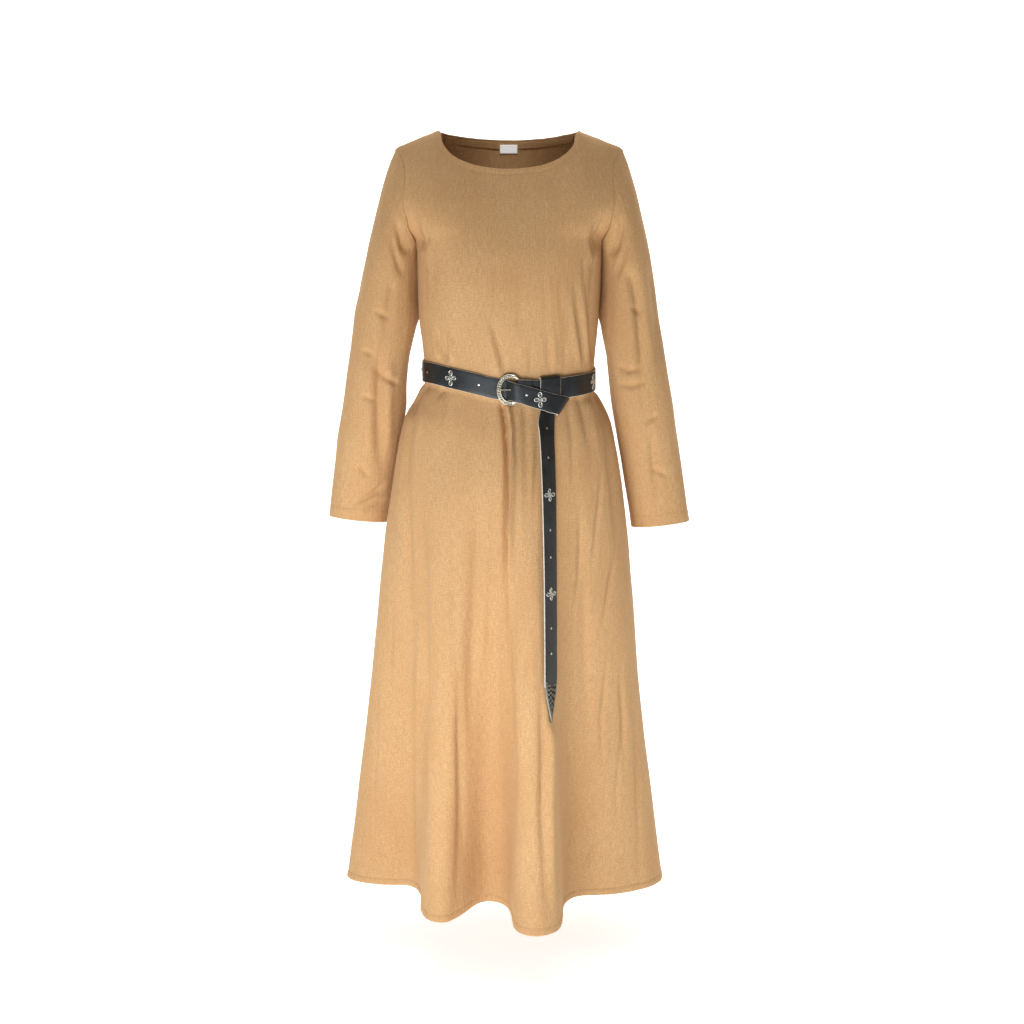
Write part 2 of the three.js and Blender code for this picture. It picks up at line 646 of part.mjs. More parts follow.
// The strap hangs plumb and rests on the cloth under it, at the nearest of a few places across.
function hangingSection(z, half = beltWide / 2, thick = leather) {
  const turn = column(hangRows, 'z', 'turn', z) * radians;
  const x = column(hangRows, 'z', 'x', z);
  const across = vec(Math.cos(turn), Math.sin(turn), 0);
  let y = Infinity;
  for (const share of [-1, -0.5, 0, 0.5, 1]) {
    const reach = share * half;
    y = Math.min(y, dressFrontY(x + reach * across.x, z) - reach * across.y);
  }
  const middle = vec(x, y - column(hangRows, 'z', 'off', z) - 0.7 * thick, z);
  return {
    a: middle.clone().addScaledVector(across, -half),
    b: middle.clone().addScaledVector(across, half),
  };
}

function beltTail() {
  const pairs = hitch.map((row) => {
    const { leftX, leftHigh, leftOff, rightX, rightHigh, rightOff, under } = row;
    const middle = [(leftX + rightX) / 2, (leftHigh + rightHigh) / 2, (leftOff + rightOff) / 2];
    return {
      a: frontPoint(leftX, leftHigh, leftOff, under),
      b: frontPoint(rightX, rightHigh, rightOff, under),
      m: frontPoint(...middle, under),
    };
  });
  const levels = [-495, -512, -530, -560, -600, -650, -700, -760, -820, -870, strapEndTop];
  for (const z of levels) pairs.push(hangingSection(z));
  return strap(pairs);
}

// ---------- Buckle, strap end and belt mounts ----------

const waistFrontY = ringPoint(0, beltLevel).y;
const buckleZ = beltLevel + beltLift(0);

// A point of the buckle's frame: an oval whose side at +X is the nearly straight bar.
function framePoint(turn, inset, off) {
  const c = Math.cos(turn);
  const s = Math.sin(turn);
  const square = c > 0 ? 4.5 : 2;
  const far = (Math.abs(c) ** square + Math.abs(s) ** square) ** (1 / square);
  const x = buckle.x + ((buckle.halfWide - inset) * c) / far;
  return vec(x, waistFrontY - off, buckleZ + ((buckle.halfHigh - inset) * s) / far);
}

function buckleRing() {
  const rings = [];
  const steps = 40;
  const low = buckle.off - buckle.thick / 2;
  const top = buckle.off + buckle.thick / 2;
  for (let k = 0; k < steps; k += 1) {
    const turn = (2 * Math.PI * k) / steps;
    const band = mix(buckle.band, buckle.bar, smooth(1.4 * Math.cos(turn)));
    const edge = 0.8;
    const sides = [[0, low + edge], [0, top - edge], [edge, top], [band - edge, top],
      [band, top - edge], [band, low + edge], [band - edge, low], [edge, low]];
    rings.push(sides.map(([inset, off]) => framePoint(turn, inset, off)));
  }
  return barSolid(rings, true);
}

// The prong's eye goes round the bar; its tip rests on the frame.
function buckleProng() {
  const barPoint = (turn) => [barX + eyeTurn * Math.sin(turn), buckle.off + eyeTurn * Math.cos(turn)];
  const route = [];
  for (let turn = -60; turn >= -330; turn -= 30) route.push(barPoint(turn * radians));
  route.reverse();
  const rest = buckle.off + buckle.thick / 2 + leatherGap + prong.thick / 2;
  const tip = buckle.x - buckle.halfWide;
  route.push([mix(barX, tip, 0.35), buckle.off + 2.8], [mix(barX, tip, 0.75), rest], [tip, rest]);
  const rings = route.map(([x, off], k) => {
    const before = route[Math.max(0, k - 1)];
    const after = route[Math.min(route.length - 1, k + 1)];
    const run = Math.hypot(after[0] - before[0], after[1] - before[1]);
    const side = [(after[1] - before[1]) / run, (before[0] - after[0]) / run];
    const radius = k === route.length - 1 ? prong.tip / 2 : prong.thick / 2;
    const ring = [];
    for (let turn = 22.5; turn < 360; turn += 45) {
      const lift = radius * Math.cos(turn * radians);
      const high = radius * Math.sin(turn * radians);
      ring.push(vec(x + side[0] * lift, waistFrontY - off - side[1] * lift, buckleZ + high));
    }
    return ring;
  });
  return barSolid(rings);
}

// The pointed sheath on the strap's end: its half width at each share of its length.
const strapEndShape = [
  { at: 0, half: 18 },
  { at: 0.25, half: 15.5 },
  { at: 0.5, half: 11 },
  { at: 0.8, half: 4.4 },
  { at: 1, half: 0.8 },
];

function strapEnd() {
  const steps = 10;
  const pairs = [];
  for (let k = 0; k <= steps; k += 1) {
    const at = k / steps;
    const z = strapEndTop - seamGap - at * strapEndLong;
    pairs.push(hangingSection(z, column(strapEndShape, 'at', 'half', at), leather));
  }
  return strap(pairs, strapEndThick);
}

// The belt's cross-shaped mounts: four petals round a middle, lying on the strap.
function mountShape() {
  const shape = new THREE.Shape();
  const steps = 32;
  for (let k = 0; k <= steps; k += 1) {
    const turn = (2 * Math.PI * k) / steps;
    const radius = mix(mount.waist, mount.reach, Math.abs(Math.cos(2 * turn)) ** mount.sharp);
    const p = [radius * Math.cos(turn), radius * Math.sin(turn)];
    if (k === 0) shape.moveTo(...p); else if (k < steps) shape.lineTo(...p);
  }
  return new THREE.ExtrudeGeometry(shape, { depth: mount.thick, bevelEnabled: false });
}

// Laid on a strap at a point, with the strap's outward normal and its upward edge.
function mountAt(point, outward, upward) {
  const geometry = mountShape();
  const across = upward.clone().cross(outward).normalize();
  const basis = new THREE.Matrix4().makeBasis(across, outward.clone().cross(across).normalize(), outward);
  basis.setPosition(point.clone().addScaledVector(outward, leather / 2 + seamGap));
  geometry.applyMatrix4(basis);
  return geometry;
}

function mountOnLoop(angle) {
  const off = column(loopOff, 'angle', 'off', angle < 0 ? angle + 360 : angle);
  const half = beltWide / 2;
  const middle = beltPoint(angle, 0, off);
  const run = beltPoint(angle + 4, 0, off).sub(beltPoint(angle - 4, 0, off));
  const upward = beltPoint(angle, half, off).sub(beltPoint(angle, -half, off)).normalize();
  const outward = run.cross(upward).normalize();
  return mountAt(middle.addScaledVector(outward, mount.stand), outward, upward);
}

// On a strap given by two of its sections, with how far it bulges between them.
function mountOnStrap(upper, lower, bulge = 0) {
  const middle = upper.a.clone().add(upper.b).add(lower.a).add(lower.b).multiplyScalar(0.25);
  const run = lower.a.clone().add(lower.b).sub(upper.a).sub(upper.b);
  const across = upper.b.clone().sub(upper.a).normalize();
  const outward = run.cross(across).normalize();
  if (outward.y > 0) outward.negate();
  return mountAt(middle.addScaledVector(outward, mount.stand + bulge), outward, across);
}

// Cut boxes out of a solid.
function cut(geometry, boxes) {
  const toManifold = (shape) => {
    const bare = shape.clone();
    for (const key of Object.keys(bare.attributes)) if (key !== 'position') bare.deleteAttribute(key);
    const merged = mergeVertices(bare, 1e-4);
    const vertProperties = new Float32Array(merged.attributes.position.array);
    return new wasm.Manifold(new wasm.Mesh({
      numProp: 3, vertProperties, triVerts: new Uint32Array(merged.index.array),
    }));
  };
  let body = toManifold(geometry);
  for (const { at, size } of boxes) {
    body = body.subtract(toManifold(new THREE.BoxGeometry(...size).translate(...at)));
  }
  const mesh = body.getMesh();
  const result = new THREE.BufferGeometry();
  result.setAttribute('position', new THREE.Float32BufferAttribute(mesh.vertProperties, 3));
  result.setIndex([...mesh.triVerts]);
  return result;
}

const materials = {
  cloth: new THREE.MeshStandardMaterial({ color: 0xc39a64, roughness: 0.9 }),
  label: new THREE.MeshStandardMaterial({ color: 0xf2f2ee, roughness: 0.7 }),
  leather: new THREE.MeshStandardMaterial({ color: 0x22272b, roughness: 0.5 }),
  silver: new THREE.MeshStandardMaterial({ color: 0xc8c8bc, roughness: 0.35, metalness: 1 }),
};

const dress = new THREE.Group();
function place(name, geometry, material) {
  const mesh = new THREE.Mesh(geometry, material);
  mesh.name = name;
  dress.add(mesh);
}

place('dress_front', frontPanel.geometry, materials.cloth);
place('dress_back', backPanel.geometry, materials.cloth);
place('sleeve_left', sleeve(leftSleeve), materials.cloth);
place('sleeve_right', sleeve(rightSleeve), materials.cloth);
const facingEnd = neckHalf * facing.reach;
place('neck_facing', insideStrip(-facingEnd, facingEnd, facing.below, facing.below + facing.wide,
  facing.thick, 24), materials.cloth);
place('neck_label', insideStrip(-label.wide / 2, label.wide / 2, label.below, label.below + label.high,
  label.thick, 4, facing.thick + seamGap), materials.label);

// The prong passes through a slot in the fold round the bar and a hole in the strap over it.
const slotHigh = prong.thick + 2 * leatherGap;
const slot = { at: [barX - 0.5, waistFrontY - buckle.off, buckleZ], size: [14, 16, slotHigh] };
const hole = { at: [4, waistFrontY - buckle.off, buckleZ], size: [15, 16, slotHigh] };
const crossingPairs = crossing.map((row) => ({
  a: frontPoint(row.topX, row.topHigh, row.topOff),
  b: frontPoint(row.lowX, row.lowHigh, row.lowOff, row.under),
}));
place('belt_loop', cut(beltLoop(), [slot]), materials.leather);
place('belt_crossing', cut(strap(crossingPairs), [hole]), materials.leather);
place('belt_tail', beltTail(), materials.leather);
place('buckle_ring', buckleRing(), materials.silver);
place('buckle_prong', buckleProng(), materials.silver);
place('strap_end', strapEnd(), materials.silver);
const loopMounts = [-39.5, -97, -158, 141, 70.5];
loopMounts.forEach((angle, k) => place(`belt_mount_${k + 1}`, mountOnLoop(angle), materials.silver));
place('belt_mount_6', mountOnStrap(crossingPairs[5], crossingPairs[7], 0.7), materials.silver);
place('belt_mount_7', mountOnStrap(hangingSection(-612), hangingSection(-628)), materials.silver);
place('belt_mount_8', mountOnStrap(hangingSection(-768), hangingSection(-784)), materials.silver);

export default dress;
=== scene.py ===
import math

import bpy
import numpy as np
from mathutils import Matrix, Vector, noise


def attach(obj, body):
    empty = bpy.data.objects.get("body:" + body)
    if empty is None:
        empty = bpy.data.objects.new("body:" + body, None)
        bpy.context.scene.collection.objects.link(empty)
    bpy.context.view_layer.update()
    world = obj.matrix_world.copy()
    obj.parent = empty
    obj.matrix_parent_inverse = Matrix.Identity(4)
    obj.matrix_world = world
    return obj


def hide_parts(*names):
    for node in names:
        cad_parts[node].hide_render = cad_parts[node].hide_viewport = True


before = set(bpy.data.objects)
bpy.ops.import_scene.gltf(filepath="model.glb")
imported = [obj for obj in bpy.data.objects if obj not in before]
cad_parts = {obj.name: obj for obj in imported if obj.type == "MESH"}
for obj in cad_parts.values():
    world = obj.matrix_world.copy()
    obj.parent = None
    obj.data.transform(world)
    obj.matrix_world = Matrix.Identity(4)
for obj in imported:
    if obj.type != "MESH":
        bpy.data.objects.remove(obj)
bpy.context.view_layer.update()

scene = bpy.context.scene
mm = 0.001  # shapes are worked out in millimetres and stored in metres
tiny = 1e-6
print("frame loaded:", len(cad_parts), "solids")

# small helpers

def addObject(name, data):
    piece = bpy.data.objects.new(name, data)
    scene.collection.objects.link(piece)
    return piece


def smooth(t):
    t = np.clip(t, 0, 1)
    return t * t * (3 - 2 * t)


def mix(a, b, t):
    return a + (b - a) * t


def unit(v):
    return v / np.maximum(np.linalg.norm(v, axis=-1, keepdims=True), 1e-9)


def table(names, *rows):
    return [dict(zip(names.split(), row)) for row in rows]


def column(rows, key, by="z"):
    # a smooth curve through one column of a table, read along another, with no overshoot
    order = sorted(rows, key=lambda row: row[by])
    xs = np.array([row[by] for row in order], float)
    ys = np.array([row[key] for row in order], float)
    slope = np.diff(ys) / np.diff(xs)
    tangent = np.concatenate([slope[:1], np.zeros(len(xs) - 2), slope[-1:]])
    a, b = slope[:-1], slope[1:]
    tangent[1:-1] = np.where(a * b > 0, 2 * a * b / np.where(a * b > 0, a + b, 1), 0)

    def read(at):
        at = np.asarray(at, float)
        k = np.clip(np.searchsorted(xs, at, side="left") - 1, 0, len(xs) - 2)
        span = xs[k + 1] - xs[k]
        t = np.clip((at - xs[k]) / span, 0, 1)
        rise = mix(ys[k], ys[k + 1], t * t * (3 - 2 * t))
        return rise + span * (t * (1 - t) ** 2 * tangent[k] + t * t * (t - 1) * tangent[k + 1])
    return read


def runAlong(grid, axis):
    # the length from the grid's first row (axis 0) or first column (axis 1) to each of its points
    steps = np.linalg.norm(np.diff(grid, axis=axis), axis=2)
    return np.insert(np.cumsum(steps, axis), 0, 0, axis)


# camera: level with the waist, looking slightly down at the front
cameraView = {"lens": 60, "place": (0.006, -3.0, -0.3454), "tiltDown": 6}
cameraData = bpy.data.cameras.new("camera")
cameraData.lens = cameraView["lens"]
camera = addObject("camera", cameraData)
camera.location = cameraView["place"]
camera.rotation_euler = (math.radians(90 - cameraView["tiltDown"]), 0, 0)
scene.camera = camera

# the dress's form, as its solids have it

dress = {
    "clothWall": 1.6, "seamGap": 0.3, "neckHalf": 122, "frontNeckDrop": 70, "backNeckDrop": 9,
    "neckSquare": 2.2, "backNeckRise": 20, "tipHalf": 197, "shoulderSlope": 0.34, "shoulderRound": 0.0009,
    "roofCentre": 325, "roofSide": 140, "roofBack": 150, "armpitLevel": -190, "beltLevel": -418,
    "hemLevel": -1325, "foldTop": -500, "foldGrowth": 1.25, "backNeckPower": 3, "frontNeckPower": 1,
}
sections = table(
    "z left right front back square",
    (0, 203, 205, 104, 96, 2.4), (-120, 201, 203, 112, 98, 2.4), (-160, 184, 186, 116, 97, 2.4),
    (-190, 163, 165, 119, 96, 2.35), (-215, 158, 161, 121, 95, 2.3), (-260, 157, 159, 121, 92, 2.3),
    (-323, 155, 156, 115, 87, 2.25), (-379, 149, 151, 107, 83, 2.2), (-400, 147.5, 149, 104, 81, 2.2),
    (-441, 147.5, 149, 104, 81, 2.2), (-450, 153, 156, 106, 86, 2.2), (-470, 164, 167, 112, 98, 2.2),
    (-500, 181, 179, 121, 108, 2.2), (-604, 203, 197, 144, 128, 2.15), (-700, 217.5, 209, 157, 140, 2.1),
    (-962, 244, 230.5, 184, 166, 2.1), (-1325, 291, 275, 208, 190, 2.1))
beltLine = table(
    "angle lift", (-180, 22.6), (-158, 21.2), (-90, 7), (-60, 3.6), (-40, -4), (-24, -12.2), (-5, -22.8),
    (22, -25), (42, -19), (90, -7), (158, 20.6), (180, 22.6))
beltReach = table("z share", (-250, 0), (-395, 1), (-450, 1), (-600, 0))
hemFolds = table(
    "angle kind x y drop steep",
    (-90, "side", -291, 4, -3, 0), (-58, "trough", -190, -54, -4, 0.95),
    (-29, "ridge", -112, -214, 8, 0.15), (-9, "trough", -34, -134, -2, 0.9),
    (11, "ridge", 45, -272, 11, 0.95), (38, "trough", 138, -103, -2, 0),
    (90, "side", 276, 4, -3, 0), (118, "trough", 214, 112, -3, 0.5),
    (138, "ridge", 132, 206, 4, 0.5), (160, "trough", 66, 138, -2, 0.5),
    (182, "ridge", -12, 228, 5, 0.5), (203, "trough", -84, 132, -2, 0.5),
    (225, "ridge", -158, 200, 4, 0.5), (246, "trough", -226, 104, -3, 0),
    (270, "side", -291, 4, -3, 0))
frontArmhole = table("at angle", (0, 71.5), (0.35, 57.5), (0.6, 61), (0.8, 73), (1, 90))
backArmhole = table("at angle", (0, 71.5), (0.35, 62), (0.6, 66), (0.8, 75), (1, 90))
leftSleeve = table(
    "z x y wide deep", (-262, -211, 4, 46.5, 58), (-323, -218, 8, 52, 57), (-379, -225.5, 13, 52, 55),
    (-463, -238, 22, 53.5, 52), (-533, -250, 30, 53.5, 48), (-600, -260, 38, 52.5, 45),
    (-676.5, -269.5, 46.5, 52, 43))
rightSleeve = table(
    "z x y wide deep", (-262, 210.5, 3, 43, 58), (-323, 214.5, 5, 48, 57), (-379, 222, 8, 51, 55),
    (-463, 234, 14, 53, 52), (-533, 245.5, 20, 52, 48), (-600, 257, 26, 51.5, 45),
    (-684, 270.5, 32.5, 51.5, 43))
# spare cloth of the sleeve towards the body: beside the armhole, and lower down
innerFold = table("z reach", (-262, 13), (-296, 16), (-330, 7), (-379, 0))
sideFold = table(
    "z left right", (-178, 0, 0), (-205, 8, 8), (-240, 7, 7), (-262, 2, 2), (-280, 0, 0), (-430, 0, 0),
    (-480, 6.5, 0), (-560, 8, 0), (-640, 7, 0), (-672, 0, 0))
cap = {"topLean": 25, "underLean": 84, "leftRun": 15, "rightRun": 5, "underRun": 24, "settle": 0.6,
       "rows": 34, "armRows": 150, "armCrowd": 1.15, "cuffSlope": 0.11, "foldTurn": 210, "foldNarrow": 6,
       "sideNarrow": 4, "tuckUnder": 4}

foldReachAt = column(innerFold, "reach")
sectionAt = {key: column(sections, key) for key in ("left", "right", "front", "back", "square")}
liftAt = column(beltLine, "lift", "angle")
reachAt = column(beltReach, "share")


def ridgeHeight(x):
    past = np.maximum(0, np.abs(x) - dress["neckHalf"])
    return -dress["shoulderSlope"] * past - dress["shoulderRound"] * past * past


def neckCurve(x):
    power = dress["neckSquare"]
    return np.maximum(0, 1 - np.abs(x / dress["neckHalf"]) ** power) ** (1 / power)


def angleAt(share, square):
    rest = (1 - np.abs(share) ** square) ** (1 / square)
    return np.degrees(np.arctan2(share, rest))


def roof(x, z, back):
    # the upper body turns in to the shoulder seam like a rounded roof
    rise = np.where(back, dress["backNeckRise"] * neckCurve(x) ** 2, 0)
    below = np.maximum(0, ridgeHeight(x) + rise - z)
    backHigh = mix(dress["roofBack"], dress["roofSide"], smooth(np.abs(x) / dress["neckHalf"]))
    frontHigh = mix(dress["roofCentre"], dress["roofSide"], smooth(np.abs(x) / dress["tipHalf"]))
    short = np.maximum(0, 1 - below / np.where(back, backHigh, frontHigh))
    return np.sqrt(1 - short * short)


def ringPoint(angle, level):
    angle, level = np.broadcast_arrays(np.asarray(angle, float), np.asarray(level, float))
    s, c = np.sin(np.radians(angle)), np.cos(np.radians(angle))
    square = sectionAt["square"](level)
    far = (np.abs(s) ** square + np.abs(c) ** square) ** (1 / square)
    wide = np.where(s < 0, sectionAt["left"](level), sectionAt["right"](level))
    deep = np.where(c < 0, sectionAt["back"](level), sectionAt["front"](level))
    return np.stack([wide * s / far, -deep * c / far, level], -1)


def hemPoint(angle):
    # between two neighbouring rows of the fold table the hem sweeps from trough to ridge
    turned = np.where(angle < -90, angle + 360, angle)
    value = {key: np.array([row[key] for row in hemFolds], float)
             for key in ("angle", "x", "y", "drop", "steep")}
    side = np.array([row["kind"] == "side" for row in hemFolds])
    k = np.clip(np.searchsorted(value["angle"], turned, side="left") - 1, 0, len(side) - 2)
    t = np.clip((turned - value["angle"][k]) / (value["angle"][k + 1] - value["angle"][k]), 0, 1)
    steep = value["steep"][k]
    rising, falling = np.sin(t * math.pi / 2), 1 - np.cos(t * math.pi / 2)
    across = np.where(side[k], falling, np.where(side[k + 1], rising,
                                                 t + steep * np.sin(2 * math.pi * t) / (2 * math.pi)))
    outward = np.where(side[k], rising, np.where(side[k + 1], falling, smooth(t)))
    drop = mix(value["drop"][k], value["drop"][k + 1], smooth(t))
    return np.stack([mix(value["x"][k], value["x"][k + 1], across),
                     mix(value["y"][k], value["y"][k + 1], outward), dress["hemLevel"] - drop], -1)


def beltLift(angle):
    return liftAt((np.asarray(angle, float) + 180) % 360 - 180)


def dressPoint(angle, level):
    angle, level = np.broadcast_arrays(np.asarray(angle, float), np.asarray(level, float))
    p = ringPoint(angle, level)
    p[..., 2] = level + beltLift(angle) * reachAt(level)
    p[..., 1] *= roof(p[..., 0], p[..., 2], np.cos(np.radians(angle)) < 0)
    run = (dress["foldTop"] - level) / (dress["foldTop"] - dress["hemLevel"])
    growth = np.clip(run, 0, 1) ** dress["foldGrowth"]
    return p + (hemPoint(angle) - ringPoint(angle, dress["hemLevel"])) * growth[..., None]


def gridNormals(grid, tube, outward):
    if tube:
        east, west = np.roll(grid, -1, 1), np.roll(grid, 1, 1)
    else:
        east = np.concatenate([grid[:, 1:], grid[:, -1:]], 1)
        west = np.concatenate([grid[:, :1], grid[:, :-1]], 1)
    below = np.concatenate([grid[1:], grid[-1:]])
    above = np.concatenate([grid[:1], grid[:-1]])
    normal = unit(np.cross(east - west, below - above))
    flip = np.sum(normal * outward, -1, keepdims=True) < 0
    return np.where(flip, -normal, normal)


# front and back panels, as grids of points

panels = {
    "armholeRows": 46, "shoulderColumns": 12, "frontNeckColumns": 182, "backNeckColumns": 150,
    "levels": ((-190, -395, 38), (-395, -475, 24), (-475, -1300, 106), (-1300, -1325, 9)),
}


def panelGrid(back):
    armhole = column(backArmhole if back else frontArmhole, "angle", "at")
    tipAngle = float(armhole(0))
    shoulder = np.linspace(0, 1, panels["shoulderColumns"] + 1)
    count = panels["backNeckColumns" if back else "frontNeckColumns"]
    left = mix(-dress["tipHalf"], -dress["neckHalf"], shoulder)
    neck = -dress["neckHalf"] * np.cos(math.pi * np.arange(1, count) / count)
    places = np.concatenate([left, neck, -left[::-1]])
    share = angleAt(places / sections[0]["left"], sections[0]["square"]) / tipAngle
    even = np.linspace(-1, 1, len(places))
    drop = dress["backNeckDrop" if back else "frontNeckDrop"]
    power = dress["backNeckPower" if back else "frontNeckPower"]
    x = ringPoint(share * tipAngle, 0)[:, 0]
    topLevel = np.where(np.abs(x) < dress["neckHalf"], -drop * neckCurve(x) ** power, ridgeHeight(x))
    at = np.linspace(0, 1, panels["armholeRows"] + 1)[:, None]
    down = (1 - np.cos(math.pi * at)) / 2
    angles = armhole(at) * mix(share, even, smooth(at))
    levels = mix(topLevel, dress["armpitLevel"], down)
    for start, end, rows in panels["levels"]:
        more = np.linspace(start, end, rows + 1)[1:, None] + 0 * even
        levels = np.concatenate([levels, more])
        angles = np.concatenate([angles, 90 * even + 0 * more])
    grid = dressPoint(180 - angles if back else angles, levels)
    forward = 1 if back else -1
    onShoulder = np.abs(x) >= dress["neckHalf"] - tiny
    grid[0, onShoulder, 1] = 0  # both panels end on the shoulder seam's line
    grid[..., 1] += forward * dress["seamGap"] / 2
    outward = grid * (0.2, 0, 0) + (0, forward * 40, 10)
    normals = gridNormals(grid, False, outward)
    lower = normals[panels["armholeRows"]:]
    for edge in (0, -1):
        lower[:, edge, 1] = 0
    normals[panels["armholeRows"]:] = unit(lower)
    top = normals[0]
    upright = np.stack([top[:, 0], 0 * top[:, 1], np.abs(top[:, 2])], -1)
    top[onShoulder] = unit(upright[onShoulder])
    return grid, normals


frontGrid, frontNormals = panelGrid(False)
backGrid, backNormals = panelGrid(True)


def sleeveRing(rows, level, count):
    value = {key: float(column(rows, key)(level)) for key in ("x", "y", "wide", "deep")}
    side = math.copysign(1, value["x"])
    turn = 2 * math.pi * np.arange(count) / count
    fold = np.maximum(0, np.cos(turn - math.radians(cap["foldTurn"]))) ** cap["foldNarrow"]
    out = side * (value["wide"] * np.cos(turn) - foldReachAt(level) * fold)
    return np.stack([value["x"] + out, value["y"] - value["deep"] * np.sin(turn),
                     level + cap["cuffSlope"] * side * out], -1)


def sleeveGrid(rows):
    # the sleeve head leaves the armhole's edge and settles into the arm's rings
    side = math.copysign(1, rows[0]["x"])
    edge, within = (0, 1) if side < 0 else (-1, -2)
    last = panels["armholeRows"]

    def along(grid, normals):
        rows = slice(0, last + 1)
        return grid[rows, edge], normals[rows, edge], grid[rows, edge] - grid[rows, within]
    front, back = along(frontGrid, frontNormals), along(backGrid, backNormals)
    p, n, away = (np.concatenate([a[:-1], b[::-1][:-1]]) for a, b in zip(front, back))
    away[last] = (0, 0, 1)
    on = unit(np.cross(np.roll(p, -1, 0) - np.roll(p, 1, 0), n))
    on = np.where(np.sum(on * away, -1, keepdims=True) < 0, -on, on)
    count = len(p)
    first = sleeveRing(rows, rows[0]["z"], count)
    onward = sleeveRing(rows, mix(rows[0]["z"], rows[1]["z"], 0.5), count)
    under = ((1 - np.cos(2 * math.pi * np.arange(count) / count)) / 2)[:, None]  # 0 on top, 1 at the armpit
    lean = np.radians(mix(cap["topLean"], cap["underLean"], smooth(under)))
    leave = np.concatenate([side * np.cos(lean), 0 * lean, -np.sin(lean)], 1)
    start = p - on * cap["tuckUnder"] - n * dress["clothWall"] * (1 - 0.4 * under)
    reach = np.linalg.norm(start - first, axis=1, keepdims=True)
    a = start + leave * mix(cap["leftRun" if side < 0 else "rightRun"], cap["underRun"], under)
    b = first - unit(onward - first) * cap["settle"] * reach
    grid = []
    for t in np.linspace(0, 1, cap["rows"] + 1):
        s = 1 - t
        grid.append(start * s ** 3 + a * 3 * s * s * t + b * 3 * s * t * t + first * t ** 3)
    for t in np.linspace(0, 1, cap["armRows"] + 1)[1:]:
        t = 1 - (1 - t) ** cap["armCrowd"]
        grid.append(sleeveRing(rows, mix(rows[0]["z"], rows[-1]["z"], t), count))
    grid = np.array(grid)
    turn = 2 * math.pi * np.arange(count) / count
    fold = np.maximum(0, np.cos(turn - math.radians(cap["foldTurn"]))) ** cap["sideNarrow"]
    grid[..., 0] -= side * column(sideFold, "left" if side < 0 else "right")(grid[..., 2]) * fold
    normals = gridNormals(grid, True, grid - grid.mean(1, keepdims=True))
    into = np.maximum(0, np.sum(normals[0] * on, -1, keepdims=True))
    normals[0] = unit(normals[0] - on * into)
    return grid, normals
